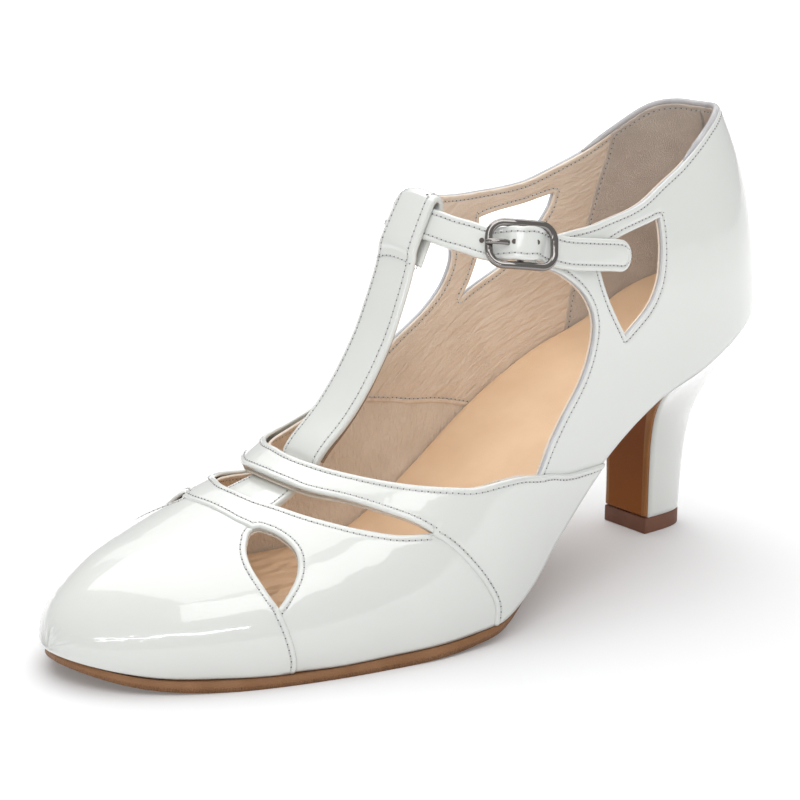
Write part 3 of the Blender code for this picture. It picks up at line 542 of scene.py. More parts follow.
def ring_points(line, closed, steps):
    """Points beside a line, on both sides of it, at these distances in millimetres."""
    if closed:
        ahead = np.roll(line, -1, axis=0) - np.roll(line, 1, axis=0)
    else:
        ahead = np.gradient(line, axis=0)
    station, down = line[:, 0], line[:, 1]
    along, across = slopes(station, down)
    run = along * ahead[:, :1] + across * ahead[:, 1:]
    run = run / np.maximum(np.linalg.norm(run, axis=1, keepdims=True), 1e-9)
    side = np.cross(last_normal(station, down), run)
    shift = chart_shift(station, down, side)
    return [(step, line + shift * sign * step / 1000) for step in steps for sign in (1, -1)]


def edge_runs(outline, kinds):
    """The stretches of an outline that end in the open, each with its kind."""
    runs, start = [], 0
    while start < len(kinds):
        end = start
        while end < len(kinds) and kinds[end] == kinds[start]:
            end += 1
        if kinds[start] in ("free", "seam"):
            line = outline[start:end + 1] if end < len(outline) else np.vstack([outline[start:], outline[:1]])
            runs.append((line, kinds[start]))
        start = end
    return runs


def rim_of(faces):
    """The edges that only one face has."""
    ends = np.concatenate([faces[:, [0, 1]], faces[:, [1, 2]], faces[:, [2, 0]]])
    _, first, count = np.unique(np.sort(ends, axis=1), axis=0, return_index=True, return_counts=True)
    return ends[first[count == 1]]


def thread_height(edge):
    """Height of a stitch's middle over the face of its piece, in the trough of this edge."""
    return table(edge, np.array([SEW_STEP]))[0, 0] / 1000 + THREAD_RADIUS * THREAD_PROUD


def belongs(outline, points):
    """Which chart points lie on a piece: within its outline and in no opening."""
    kept = inside(outline, points)
    for opening in OPENINGS:
        kept &= ~inside(opening, points)
    return kept


def fixed_points(outline, kinds):
    """The points of the openings and of a piece's outline, their kinds, and the edges between them."""
    fixed, owners, edges = [], [], []
    labelled = [(opening, ["free"] * len(opening)) for opening in OPENINGS] + [(outline, list(kinds))]
    for line, labels in labelled:
        base = len(fixed)
        fixed += [tuple(p) for p in line]
        owners += labels
        edges += [(base + i, base + (i + 1) % len(line)) for i in range(len(line))]
    return np.array(fixed), owners, edges


def loose_points(outline, runs, hidden_by, sewn):
    """Points in rings along a piece's free edges and spread over the rest, and its rows of stitches."""
    lines = [(line, True, True) for line in OPENINGS] + [(line, False, kind != "seam") for line, kind in runs]
    free_tree = tree_of(np.concatenate([chart_point(line) for line, closed, stitched in lines]))
    loose, stitch_rows = [], []
    for line, closed, stitched in lines:
        for step, points in ring_points(line, closed, RING_STEPS):
            good = (points[:, 0] > 0.001) & (points[:, 0] < WHOLE - 0.001) & (np.abs(points[:, 1]) < 0.998)
            good &= belongs(outline, points)
            if good.any():
                good[good] = distances(free_tree, chart_point(points[good])) > RING_KEEPS * step / 1000
            loose.append(points[good])
            if sewn and stitched and step == SEW_STEP:
                for cover in hidden_by:
                    good &= ~inside(cover, points)
                stitch_rows += unbroken(points, good, closed)
    grid = GRID[belongs(outline, GRID)]
    loose.append(grid[distances(free_tree, chart_point(grid)) > GRID_CLEAR])
    return np.concatenate(loose), stitch_rows


def triangulated(outline, fixed, owners, edges, loose):
    """The chart points of a piece, their kinds, and the triangles between them."""
    loose = loose[distances(tree_of(chart_point(fixed)), chart_point(loose)) > POINTS_APART]
    spread = np.concatenate([fixed, loose]) * (CHART_LONG, CHART_WIDE)
    vertices, _, faces, origin, _, _ = geometry.delaunay_2d_cdt(
        [Vector(p) for p in spread], edges, [], 0, 1e-5)
    vertices = np.array(vertices) / (CHART_LONG, CHART_WIDE)
    faces = np.array(faces)
    faces = faces[belongs(outline, vertices[faces].mean(axis=1))]
    kind = np.array([owners[o[0]] if o and o[0] < len(owners) else "" for o in origin], dtype=object)
    return vertices, kind, faces


def rim_kinds(rim, station, down, kind, joined):
    """How each edge of a rim ends: in the open, hidden, or joined across the back of the heel."""
    found = []
    for a, b in rim:
        both = {kind[a], kind[b]}
        at_back = max(station[a], station[b]) < 1e-4
        at_border = min(abs(down[a]), abs(down[b])) > 0.9995 or min(station[a], station[b]) > WHOLE - 1e-4
        if at_back and joined:
            found.append("join")
        elif at_back or at_border or ("hidden" in both and not both & {"free", "seam"}):
            found.append("hidden")
        else:
            found.append("free")
    return found


def piece_of_leather(name, parts, level, thick, edge, finishes, hidden_by=(), facing=1, sewn=True):
    """A closed piece between its outline and the openings, laid over the last.

    level gives the height of its face. facing is 1 for a face that looks outward and -1 for a
    lining. Returns the object and the lines of its stitches.
    """
    outline, kinds = piece_outline(parts)
    loose, stitch_rows = loose_points(outline, edge_runs(outline, kinds), hidden_by, sewn)
    vertices, kind, faces = triangulated(outline, *fixed_points(outline, kinds), loose)
    station = np.clip(vertices[:, 0], 0, WHOLE)
    down = np.clip(vertices[:, 1], -1, 1)
    rim = rim_of(faces)
    ends = rim_kinds(rim, station, down, kind, sewn == "joined")
    free_ends = sorted({int(v) for pair, end in zip(rim, ends) if end == "free" for v in pair})
    used = np.unique(faces)
    away = np.full(len(station), FAR_FROM_EDGE)
    if free_ends:
        tree = tree_of(last_point(station[free_ends], down[free_ends]))
        away[used] = distances(tree, last_point(station[used], down[used])) * 1000
    fall = table(edge, away)[:, 0] / 1000
    face_height = level(station, down)
    front = on_last(station, down, face_height + facing * fall)
    back = on_last(station, down, face_height - facing * thick)
    if facing > 0:
        sink = TURN_UNDER * smooth_step(np.abs(down), 0.955, 1.0)
        front[:, 2] -= sink
        back[:, 2] -= sink
    index = np.full(len(station), -1)
    index[used] = np.arange(len(used))
    size = len(used)
    front_faces = index[faces]
    area = np.cross(front[faces[:, 1]] - front[faces[:, 0]], front[faces[:, 2]] - front[faces[:, 0]])
    way = (area * last_normal(*vertices[faces].mean(axis=1).T)).sum(-1) * facing
    front_faces = np.where((way > 0)[:, None], front_faces, front_faces[:, ::-1])
    all_faces = [tuple(f) for f in front_faces] + [tuple(f[::-1] + size) for f in front_faces]
    slots = [0] * len(front_faces) + [min(1, len(finishes) - 1)] * len(front_faces)
    for (a, b), end in zip(rim, ends):
        if end == "join":
            continue
        a, b = index[a], index[b]
        all_faces.append((a, b, b + size, a + size))
        slots.append(len(finishes) - 1)
    made = new_object(name, np.concatenate([front[used], back[used]]), all_faces, finishes)
    made.data.polygons.foreach_set("material_index", slots)
    keep_chart(made, np.tile(np.column_stack([station[used], down[used], np.zeros(size)]), (2, 1)))
    close_mesh(made)
    rows = []
    for line in stitch_rows:
        rows.append(on_last(*line.T, level(*line.T) + facing * thread_height(edge)))
    return made, rows


def unbroken(points, good, closed):
    """The runs of good points of a line that are long enough to sew."""
    rows = []
    order = np.arange(len(points))
    if closed and good.any() and not good.all():
        order = np.roll(order, -int(np.argmin(good)))
    run = []
    for i in list(order) + [None]:
        if i is not None and good[i]:
            run.append(i)
            continue
        if len(run) > 6:
            rows.append(points[run])
        run = []
    if closed and good.all():
        rows = [np.vstack([points, points[:1]])]
    return rows


# Heights of the pieces' faces over the last
def toe_level(station, down):
    return LAP_STEP * smooth_step(np.abs(down), 0.30, 0.62) * (1 - smooth_step(station, 0.87, 0.95))


def wing_level(station, down):
    return LAP_STEP * (1 - smooth_step(np.abs(down), 0.30, 0.62) * smooth_step(station, 0.79, 0.85))


def flat(height):
    """A level that is the same all over a piece."""
    return lambda station, down: np.full(np.shape(station), height)


def upper_pieces(finish):
    """The patent pieces, their linings and the lines of all their stitches."""
    patent, raw, lining, suede = finish["patent"], finish["raw edge"], finish["lining"], finish["suede"]
    toe_parts = [
        (smooth_line(TOE_SEAM_LOW), "free"),
        (border((0.8617, 0.646), (0.845, 0.450)), "hidden"),
        (smooth_line(TOE_UNDER_BAND), "hidden"),
        (border((0.845, -0.450), (0.8617, -0.646)), "hidden"),
        (smooth_line(mirrored(TOE_SEAM_LOW)), "free"),
        (border((0.849, -1), (0.95, -1), (1.05, -1), (WHOLE, -1), (WHOLE, 1), (1.05, 1), (0.95, 1),
                (0.849, 1)), "hidden"),
    ]
    wing_parts = [
        (smooth_line(WING_UNDER_TOE), "hidden"),
        (smooth_line(BAND_FRONT), "free"),
        (smooth_line(mirrored(WING_UNDER_TOE)), "hidden"),
        (border((0.866, -1), (0.594, -1)), "hidden"),
        (smooth_line(WING_UNDER_REAR)[:, [0, 1]] * (1, -1), "hidden"),
        (smooth_line(WING_UNDER_REAR)[::-1], "hidden"),
        (border((0.594, 1), (0.866, 1)), "hidden"),
    ]
    rear_parts = [
        (smooth_line(REAR_FRONT), "free"),
        (smooth_line(mirrored(REAR_FRONT)), "free"),
        (border((0.613, -1), (0.403, -1)), "hidden"),
        (smooth_line(REAR_BACK_INNER), "free"),
        (border((0.552, -0.702), (0.590, -0.610)), "hidden"),
        (smooth_line(THROAT_VOID), "hidden"),
        (border((0.545, 0.775), (0.534, 0.836)), "hidden"),
        (smooth_line(REAR_BACK_OUTER), "free"),
        (border((0.403, 1), (0.613, 1)), "hidden"),
    ]
    outer_parts = [
        (border((0, 0.30), (0.60, 0.30), (0.60, 0.72), (0.585, 0.80), (0.545, 0.90), (0.47, 0.985),
                (0.455, 1)), "hidden"),
        (border((0.455, 1), (0.2, 1), (0, 1)), "hidden"),
        (border((0, 1), (0, 0.30)), "seam"),
    ]
    inner_parts = [
        (border((0, -1), (0.2, -1), (0.45, -1)), "hidden"),
        (border((0.45, -1), (0.47, -0.97), (0.53, -0.86), (0.575, -0.76), (0.600, -0.665), (0.612, -0.600),
                (0.62, -0.45), (0.62, -0.20), (0.60, 0.02), (0.52, 0.02), (0.40, -0.30), (0, -0.30)),
         "hidden"),
        (border((0, -0.30), (0, -1)), "seam"),
    ]
    rear_cover = piece_outline(rear_parts)[0]
    band_cover = piece_outline(wing_parts)[0]
    band_cover = band_cover[np.abs(band_cover[:, 1]) < 0.30]
    rows = []
    made = {}
    plan = (
        ("toe_piece", toe_parts, toe_level, FOLDED_EDGE, (patent,), (band_cover,)),
        ("wing_panel", wing_parts, wing_level, FOLDED_EDGE, (patent,), (rear_cover,)),
        ("rear_wing", rear_parts, flat(2 * LAP_STEP), FOLDED_EDGE, (patent,), ()),
        ("outer_quarter", outer_parts, flat(0.0), CUT_EDGE, (patent, raw), (rear_cover,)),
        ("inner_quarter", inner_parts, flat(0.0), CUT_EDGE, (patent, raw), (rear_cover,)),
    )
    for name, parts, level, edge, finishes, hidden_by in plan:
        made[name], more = piece_of_leather(name, parts, level, PATENT_THICK, edge, finishes, hidden_by)
        rows += more
    more_made, more = lining_pieces(lining, finish["vamp lining"], suede)
    made.update(more_made)
    return made, rows + more


def lining_pieces(lining, vamp_lining, suede):
    """The leather inside: vamp, the two quarters and the grip at the heel."""
    outer, inner = smooth_line(LINING_SEAM), smooth_line(mirrored(LINING_SEAM))
    grip_outer, grip_inner = smooth_line(GRIP_SEAM), smooth_line(mirrored(GRIP_SEAM))
    under = (0.014, 0)
    vamp_parts = [
        (outer - under, "hidden"),
        (border((0.376, 1), (0.9, 1), (WHOLE, 1), (WHOLE, -1), (0.9, -1), (0.376, -1)), "hidden"),
        (inner - under, "hidden"),
        (border((0.606, -0.62), (0.65, -0.30), (0.68, 0), (0.65, 0.30), (0.606, 0.62)), "hidden"),
    ]
    outer_parts = [
        (outer, "free"),
        (border((0.390, 1), (0.226, 1)), "hidden"),
        ((grip_outer - under)[::-1], "hidden"),
        (border((0.140, 0.480), (0.140, 0.30), (0.60, 0.30), (0.620, 0.620)), "hidden"),
    ]
    inner_parts = [
        (inner, "free"),
        (border((0.620, -0.620), (0.62, -0.45), (0.62, -0.20), (0.60, 0.02), (0.52, 0.02), (0.40, -0.30),
                (0.140, -0.30), (0.140, -0.480)), "hidden"),
        ((grip_inner - under)[::-1], "hidden"),
        (border((0.226, -1), (0.390, -1)), "hidden"),
    ]
    grip_parts = [
        (grip_outer, "free"),
        (border((0.240, 1), (0, 1)), "hidden"),
        (border((0, 1), (0, -1)), "hidden"),
        (border((0, -1), (0.240, -1)), "hidden"),
        (grip_inner, "free"),
        (border((0.154, -0.48), (0.10, 0.0), (0.154, 0.48)), "hidden"),
    ]
    made, rows = {}, []
    for name, parts, level, finish, sewn in (
        ("vamp_lining", vamp_parts, flat(-WALL), vamp_lining, True),
        ("outer_lining", outer_parts, flat(-WALL - 0.0002), lining, True),
        ("inner_lining", inner_parts, flat(-WALL - 0.0002), lining, True),
        ("heel_grip", grip_parts, flat(-WALL - 0.0004), suede, "joined"),
    ):
        made[name], more = piece_of_leather(
            name, parts, level, LINING_THICK, CUT_EDGE, (finish,), facing=-1, sewn=sewn)
        rows += more
    return made, rows


def strip(name, path, widths, thick, edge, finish, round_end=False):
    """A strip of leather with finished edges, and the lines of its two rows of stitches."""
    station, down, height = path.T
    centre = on_last(station, down, height)
    ahead = unit(np.gradient(centre, axis=0))
    run = run_along(centre)
    out = last_normal(station, down)
    steps = np.array((0.0,) + RING_STEPS)
    rings, lines = [], ([], [])
    side_before = None
    for i in range(len(path)):
        side = np.cross(out[i], ahead[i])
        if np.linalg.norm(side) < 0.3 and side_before is not None:
            side = side_before
        side = unit(side)
        if side_before is not None and side @ side_before < 0:
            side = -side
        side_before = side
        off = unit(np.cross(ahead[i], side))
        half = widths[i] / 2
        inset = steps / 1000 * min(1.0, half / 0.0031)
        spots = np.concatenate([-half + inset, np.linspace(-1, 1, 5)[1:-1] * max(half - 0.0026, half * 0.1),
                                (half - inset)[::-1]])
        away = half - np.abs(spots)
        if round_end:
            beyond = max(0.0, run[i] - (run[-1] - STRAP_WIDTH / 2))
            away = np.minimum(away, STRAP_WIDTH / 2 - np.hypot(beyond, spots))
        fall = table(edge, np.maximum(away, 0) * 1000)[:, 0] / 1000
        shift = chart_shift(np.full(1, station[i]), np.full(1, down[i]), side[None])[0]
        heights = np.full(len(spots), height[i])
        middle = on_last(station[i] + shift[0] * spots, down[i] + shift[1] * spots, heights)
        top = middle + off * (thick / 2 + fall)[:, None]
        bottom = middle[::-1] - off * (thick / 2 + fall[::-1] * 0.4)[:, None]
        rings.append(np.concatenate([top, bottom]))
        if half > STITCH_INSET + 0.0008:
            for line, sign in zip(lines, (-1, 1)):
                spot = sign * (half - STITCH_INSET)
                at = on_last(station[i] + shift[0] * spot, down[i] + shift[1] * spot, height[i])
                line.append(at + off * (thick / 2 + thread_height(edge)))
    return loft(name, rings, (finish,)), [np.array(line) for line in lines if len(line) > 3]


def resampled(rows, count):
    """A smooth path through the rows of a table, in count steps."""
    rows = np.array(rows, float)
    return table(np.column_stack([np.arange(len(rows)), rows]), np.linspace(0, len(rows) - 1, count))


def t_bar(finish):
    rows = resampled(TBAR_PATH, 190)
    path = np.column_stack([rows[:, 0], np.full(len(rows), -0.012), rows[:, 1] / 1000])
    return strip("t_bar", path, rows[:, 2] / 1000, TBAR_THICK, FOLDED_EDGE, finish)


def t_bar_lining(finish):
    """The brown strip under the T-bar, which shows a little along its outer edge."""
    rows = resampled(TBAR_LINING_PATH, 70)
    path = np.column_stack([rows[:, 0], np.full(len(rows), 0.002), rows[:, 1] / 1000])
    return strip("t_bar_lining", path, rows[:, 2] / 1000, 0.0005, PLAIN_EDGE, finish)[0]


def t_bar_seam():
    """The row of stitches across the T-bar that closes its loop under the strap."""
    station, down = np.array(0.6030), np.array(-0.012)
    across = np.linspace(-0.0054, 0.0054, 20)
    side = unit(slopes(station, down)[1])
    shift = chart_shift(station[None], down[None], side[None])[0]
    height = np.full(len(across), TBAR_THICK / 2 - 0.0001)
    return on_last(station + shift[0] * across, down + shift[1] * across, height)


def ankle_strap(finish):
    rows = resampled(STRAP_PATH, 170)
    path = np.column_stack([rows[:, 0], rows[:, 1], rows[:, 2] / 1000])
    run = run_along(on_last(*path.T))
    left = np.clip((run[-1] - run) / (STRAP_WIDTH / 2), 0, 1)
    widths = STRAP_WIDTH * np.sqrt(np.maximum(1 - (1 - left) ** 2, 0.004))
    return strip("ankle_strap", path, widths, STRAP_THICK, FOLDED_EDGE, finish, round_end=True)


def buckle_axes():
    """Where the buckle sits: its middle on the last, and its directions along, across and out."""
    station, down = 0.5280, 0.4250
    middle = last_point(station, down)
    out = last_normal(station, down)
    ahead = last_point(0.5540, 0.335) - last_point(0.4880, 0.510)
    ahead = unit(ahead - out * (ahead @ out))
    return middle, ahead, np.cross(out, ahead), out


def from_buckle(points):
    """Points of the buckle's own axes, in place."""
    middle, ahead, across, out = buckle_axes()
    points = np.asarray(points, float)
    return middle + points[..., :1] * ahead + points[..., 1:2] * across + points[..., 2:] * out


def wire(name, points, wide, deep, closed, finish, sides=16, ends=None):
    """A bar of rounded section along points of the buckle's axes, thinner where ends is under 1."""
    points = np.array(points, float)
    if closed:
        ahead = np.roll(points, -1, axis=0) - np.roll(points, 1, axis=0)
        up = np.array([0.0, 0.0, 1.0])
    else:
        ahead = np.gradient(points, axis=0)
        up = np.array([0.0, 1.0, 0.0])
    ahead = unit(ahead)
    side = unit(np.cross(up, ahead))
    top = np.cross(ahead, side)
    angle = np.linspace(0, 2 * np.pi, sides, endpoint=False)
    x = np.sign(np.cos(angle)) * np.abs(np.cos(angle)) ** 0.8 * wide
    z = np.sign(np.sin(angle)) * np.abs(np.sin(angle)) ** 0.8 * deep
    scale = np.ones(len(points)) if ends is None else ends
    rings = [from_buckle(points[i] + scale[i] * (x[:, None] * side[i] + z[:, None] * top[i]))
             for i in range(len(points))]
    return loft(name, rings, (finish,), closed)


def tube(name, points, outward, radius, finish, scale, sides=10):
    """A round cord along points of the shoe, thinner where its scale is under 1."""
    ahead = unit(np.gradient(points, axis=0))
    side = unit(np.cross(ahead, outward))
    top = np.cross(side, ahead)
    angle = np.linspace(0, 2 * np.pi, sides, endpoint=False)[:, None]
    rings = [points[i] + radius * scale[i] * (np.cos(angle) * side[i] + np.sin(angle) * top[i])
             for i in range(len(points))]
    return loft(name, rings, (finish,))


def heel_rim(finish):
    """The padded, brushed rim round the top of the heel."""
    line = smooth_line(COLLAR[:7])
    outer = line[(line[:, 0] >= 0) & (line[:, 0] < 0.215)][::-1]
    line = smooth_line(mirrored(COLLAR[-8:]))
    inner = line[(line[:, 0] >= 0) & (line[:, 0] < 0.215)]
    station = np.concatenate([outer[:, 0], inner[:, 0]])
    down = np.concatenate([outer[:, 1], -np.abs(inner[:, 1])])
    points = on_last(station, down, np.full(len(station), -0.0010))
    points[:, 2] += 0.00025
    smooth = points.copy()
    for _ in range(4):
        smooth[1:-1] = (smooth[:-2] + 2 * smooth[1:-1] + smooth[2:]) / 4
    run = np.linspace(0, 1, len(smooth))
    ends = np.clip(np.minimum(run, 1 - run) / 0.08, 0.12, 1) ** 0.5
    return tube("heel_rim", smooth, last_normal(station, down), RIM_RADIUS, finish, ends)


def strap_hole_painted_shade(finish):
    """Dark discs as painted shade in the punched holes: one on each side of the buckle's middle, and the one
    that the prong uses.
    """
    discs = []
    for station, down, height in STRAP_HOLES:
        middle = on_last(np.array(station), np.array(down), np.array(height / 1000 + STRAP_THICK / 2))
        ahead = on_last(np.array(station - 0.004), np.array(down + 0.011), np.array(height / 1000)) - middle
        out = last_normal(np.array(station), np.array(down))
        ahead = unit(ahead - out * (ahead @ out))
        side = np.cross(out, ahead)
        angle = np.linspace(0, 2 * np.pi, 20, endpoint=False)
        ring = HOLE_RADIUS * (np.cos(angle)[:, None] * ahead + np.sin(angle)[:, None] * side)
        points = np.concatenate([middle + ring - out * 0.0004, middle + ring + out * 0.00004])
        faces = [(j, (j + 1) % 20, 20 + (j + 1) % 20, 20 + j) for j in range(20)]
        faces += [tuple(range(20))[::-1], tuple(range(20, 40))]
        disc = new_object("strap_hole", points, faces, (finish,), smooth=False)
        close_mesh(disc)
        discs.append(disc)
    return join("strap_hole_painted_shade", discs)


def buckle_frame(finish):
    """Rounded rectangle bowed to the ankle, with a straight bar across its middle."""
    half_long = BUCKLE_LENGTH / 2 - FRAME_RADIUS
    half_wide = BUCKLE_WIDTH / 2 - FRAME_RADIUS
    straight = half_long - FRAME_CORNER
    plan = []
    for sx, sy, start in ((1, 1, 0), (-1, 1, 90), (-1, -1, 180), (1, -1, 270)):
        for angle in np.radians(start + 7.5 * np.arange(13)):
            plan.append((sx * straight + FRAME_CORNER * np.cos(angle),
                         sy * (half_wide - FRAME_CORNER) + FRAME_CORNER * np.sin(angle)))
        if sx * sy > 0:
            plan += [(part * sx * straight, sy * half_wide) for part in (0.66, 0.33, 0.0, -0.33, -0.66)]
    points = [(x, y, FRAME_LIFT - FRAME_BOW * (x / half_long) ** 2) for x, y in plan]
    ring = wire("buckle_frame", points, FRAME_RADIUS * 1.05, FRAME_RADIUS * 0.85, True, finish)
    end = half_wide - 0.0002
    points = [(0, y, BAR_LIFT + (FRAME_LIFT - BAR_LIFT) * min(1.0, abs(y / end)) ** 8)
              for y in np.linspace(-end, end, 25)]
    return join("buckle_frame", [ring, wire("centre_bar", points, BAR_RADIUS, BAR_RADIUS, False, finish)])


def join(name, things):
    """Several meshes as one piece."""
    work = bmesh.new()
    for thing in things:
        work.from_mesh(thing.data)
    data = things[0].data.copy()
    work.to_mesh(data)
    work.free()
    for thing in things:
        bpy.data.objects.remove(thing, do_unlink=True)
    made = link_object(name, data)
    made.name = name
    return made


def buckle_prong(finish):
    """A hook round the centre bar, up through the strap's hole and over the frame's front bar."""
    turn = BAR_RADIUS + FIT_GAP + PRONG_RADIUS
    points = []
    for step in range(24):
        angle = np.radians(100 + 10 * step)
        points.append((turn * np.sin(angle), 0.0, BAR_LIFT + turn * np.cos(angle)))
    rise = resampled(((0.0016, 0, 0.0031), (0.0034, 0, 0.0038), (0.0050, 0, 0.0046), (0.0068, 0, 0.0048),
                      (0.0085, 0, 0.0044), (0.0098, 0, 0.0037)), 24)
    points = np.concatenate([points, rise])
    ends = np.ones(len(points))
    ends[-4:] = (0.97, 0.9, 0.75, 0.4)
    return wire("buckle_prong", points, PRONG_RADIUS, PRONG_RADIUS * 1.3, False, finish, sides=12, ends=ends)


def buckle_chape(finish):
    """The small strip round the centre bar that holds the buckle, parted in the middle for the prong."""
    turn = BAR_RADIUS + FIT_GAP + CHAPE_THICK / 2
    line = [(-0.0052, 0.0002), (-0.0040, 0.0004), (-0.0030, 0.0005), (-0.0018, 0.0004)]
    line += [(turn * np.sin(a), BAR_LIFT - turn * np.cos(a)) for a in np.radians(np.arange(20, 181, 20))]
    line += [(-0.0015, BAR_LIFT + turn - 0.0002), (-0.0030, BAR_LIFT + turn - 0.0009)]
    halves = []
    for middle in (0.0024, -0.0024):
        points = [(x, middle, z) for x, z in line]
        halves.append(wire("chape_half", points, CHAPE_THICK / 2, CHAPE_HALF, False, finish))
    return join("buckle_chape", halves)


def feather_plan(share, side, grow):
    """The feather edge at these shares, moved outward in plan by grow."""
    station = station_of(share)
    step = 0.001
    edge = last_point(station, side)
    ahead = last_point(np.minimum(station + step, WHOLE), side) - last_point(station - step, side)
    out = unit(np.stack([-ahead[..., 1], ahead[..., 0], 0 * ahead[..., 0]], axis=-1) * side)
    return edge + out * np.asarray(grow, float)[..., None]


def end_shares(low, high, count):
    """Shares that lie closer together towards both ends of the foot."""
    return share_of(np.linspace(station_of(low), station_of(high), count))


def plate(name, left, right, top, bottom, crown, rim, finish, across=21):
    """A plate between two edges. crown bends its top across, rim rounds its edges."""
    blend = 0.5 - 0.5 * np.cos(np.pi * np.linspace(0, 1, across))
    rings = []
    for i in range(len(left)):
        line = left[i] * (1 - blend[:, None]) + right[i] * blend[:, None]
        away = np.minimum(blend, 1 - blend) * np.linalg.norm(right[i] - left[i])
        fall = rim * (1 - np.clip(away / max(rim, 1e-6), 0, 1))
        upper_line, lower_line = line.copy(), line[::-1].copy()
        upper_line[:, 2] = top[i] + crown * (2 * blend - 1) ** 2 - fall * 0.5
        lower_line[:, 2] = bottom[i]
        rings.append(np.concatenate([upper_line, lower_line]))
    chart = np.column_stack([
        np.repeat(run_along(left) * 1000, 2 * across),
        np.tile(np.concatenate([blend, blend[::-1]]), len(rings)),
        np.tile(np.concatenate([np.ones(across), np.zeros(across)]), len(rings))])
    return loft(name, rings, (finish,), chart=chart)


def insole(finish):
    share = end_shares(0.0004, 0.9996, 150)
    inset = np.full(len(share), -(WALL + FIT_GAP + 0.0003))
    left = feather_plan(share, 1.0, inset)
    right = feather_plan(share, -1.0, inset)
    foot = table(LAST, share)[:, 0] * HEEL_HEIGHT
    return plate("insole", left, right, foot + INSOLE_THICK, foot + 0.0001, 0.0006, 0.0004, finish)


def outsole(finish):
    share = end_shares(BREAST_SHARE + 0.012, 0.9998, 170)
    row = table(SOLE, share)
    left = feather_plan(share, 1.0, row[:, 0] / 1000)
    right = feather_plan(share, -1.0, row[:, 1] / 1000)
    top = table(LAST, share)[:, 0] * HEEL_HEIGHT - SEAT_GAP + 0.0002 - TURN_UNDER
    bottom = np.maximum(top + TURN_UNDER - 0.0002 - SOLE_THICK * row[:, 2], 0.0)
    return plate("outsole", left, right, top, bottom, 0.0, 0.0, finish)


def tread_plan(count):
    """The tread's D plan: count points from the outer front corner round the back."""
    angle = np.linspace(0, np.pi, count)
    x = TREAD_HALF_WIDTH * np.sign(np.cos(angle)) * np.abs(np.cos(angle)) ** 0.62
    y = TREAD_FRONT + (TREAD_BACK - TREAD_FRONT) * np.sin(angle) ** 0.62
    return np.column_stack([x, y])


def seat_plan(count):
    """The heel's top edge: from the outer breast corner round the back to the inner one."""
    half = count // 2
    share = end_shares(BREAST_SHARE, 0.0, half + 1)
    outer = feather_plan(share, 1.0, np.full(len(share), -0.0001))
    inner = feather_plan(share, -1.0, np.full(len(share), -0.0001))[::-1]
    return np.concatenate([outer, inner[1:]])


def heel_ring(level, seat, tread, low):
    """The heel's outline at a level from 0 at the top piece to 1 at the seat."""
    flare = table(HEEL_FLARE, np.array(level))
    place = np.sin(np.linspace(0, np.pi, len(seat))) ** 0.8
    spread = flare[0] * place + flare[1] * (1 - place)
    ring = np.zeros((len(seat), 3))
    ring[:, :2] = tread + (seat[:, :2] - tread) * spread[:, None]
    high = seat[:, 2] - SEAT_GAP + 0.0003 - TURN_UNDER
    ring[:, 2] = low + (high - low) * level
    return ring


def heel(finish):
    """The covered heel block, from the top piece up to the seat."""
    seat, tread = seat_plan(91), tread_plan(91)
    blend = np.linspace(0, 1, 9)[1:-1, None]
    rings = []
    for level in np.linspace(0, 1, 60) ** 0.9:
        ring = heel_ring(level, seat, tread, TOP_PIECE_THICK + 0.0001)
        rings.append(np.concatenate([ring, ring[-1] * (1 - blend) + ring[0] * blend]))
    return loft("heel", rings, (finish,))


def breast_cover(finish, edge_finish):
    """The leather down the front of the heel, paler along both edges."""
    seat, tread = seat_plan(31), tread_plan(31)
    blend = np.array([0.012, 0.05, 0.10, 0.25, 0.5, 0.75, 0.90, 0.95, 0.988])[:, None]
    depth = BREAST_COVER_THICK * np.array([0.75, 0.98, 1.0, 1.0, 1.0, 1.0, 1.0, 0.98, 0.75])
    rings = []
    for level in np.linspace(0.004, 0.93, 60):
        ring = heel_ring(level, seat, tread, TOP_PIECE_THICK + FIT_GAP)
        back = ring[0] * (1 - blend) + ring[-1] * blend
        back[:, 1] -= FIT_GAP * 0.3
        front = back[::-1].copy()
        front[:, 1] -= depth
        rings.append(np.concatenate([back, front]))
    pale = [1 if j in (8, 9, 10, 15, 16, 17) else 0 for j in range(2 * len(blend))]
    return loft("breast_cover", rings, (finish, edge_finish), slots=pale * (len(rings) - 1) + [1, 1])


def bevelled(made, width, segments=3, angle=40):
    """Rounds the sharp edges of a piece."""
    tool = made.modifiers.new("Bevel", "BEVEL")
    tool.width = width
    tool.segments = segments
    tool.limit_method = "ANGLE"
    tool.angle_limit = np.radians(angle)
    graph = bpy.context.evaluated_depsgraph_get()
    result = bpy.data.meshes.new_from_object(made.evaluated_get(graph))
    made.modifiers.clear()
    made.data = result
    return made


def top_piece(finish):
    """The rubber tread under the heel, a little proud of the breast."""
    plan = tread_plan(61)
    plan[:, 1] = np.where(plan[:, 1] < TREAD_FRONT + 1e-5, TREAD_FRONT - 0.0012, plan[:, 1])
    low = np.column_stack([plan, np.zeros(len(plan))])
    high = low + np.array([0, 0, TOP_PIECE_THICK])
    count = len(low)
    faces = [(j, (j + 1) % count, count + (j + 1) % count, count + j) for j in range(count)]
    faces += [tuple(range(count))[::-1], tuple(range(count, 2 * count))]
    made = new_object("top_piece", np.concatenate([low, high]), faces, (finish,), smooth=False)
    close_mesh(made)
    return bevelled(made, 0.0004)


def add(tree, kind, inputs=None, **settings):
    """A new node. Each of its inputs takes a value or another node's output."""
    made = tree.nodes.new(kind)
    for name, value in settings.items():
        setattr(made, name, value)
    for socket, value in (inputs or {}).items():
        if isinstance(value, bpy.types.NodeSocket):
            tree.links.new(value, made.inputs[socket])
        else:
            made.inputs[socket].default_value = value
    return made


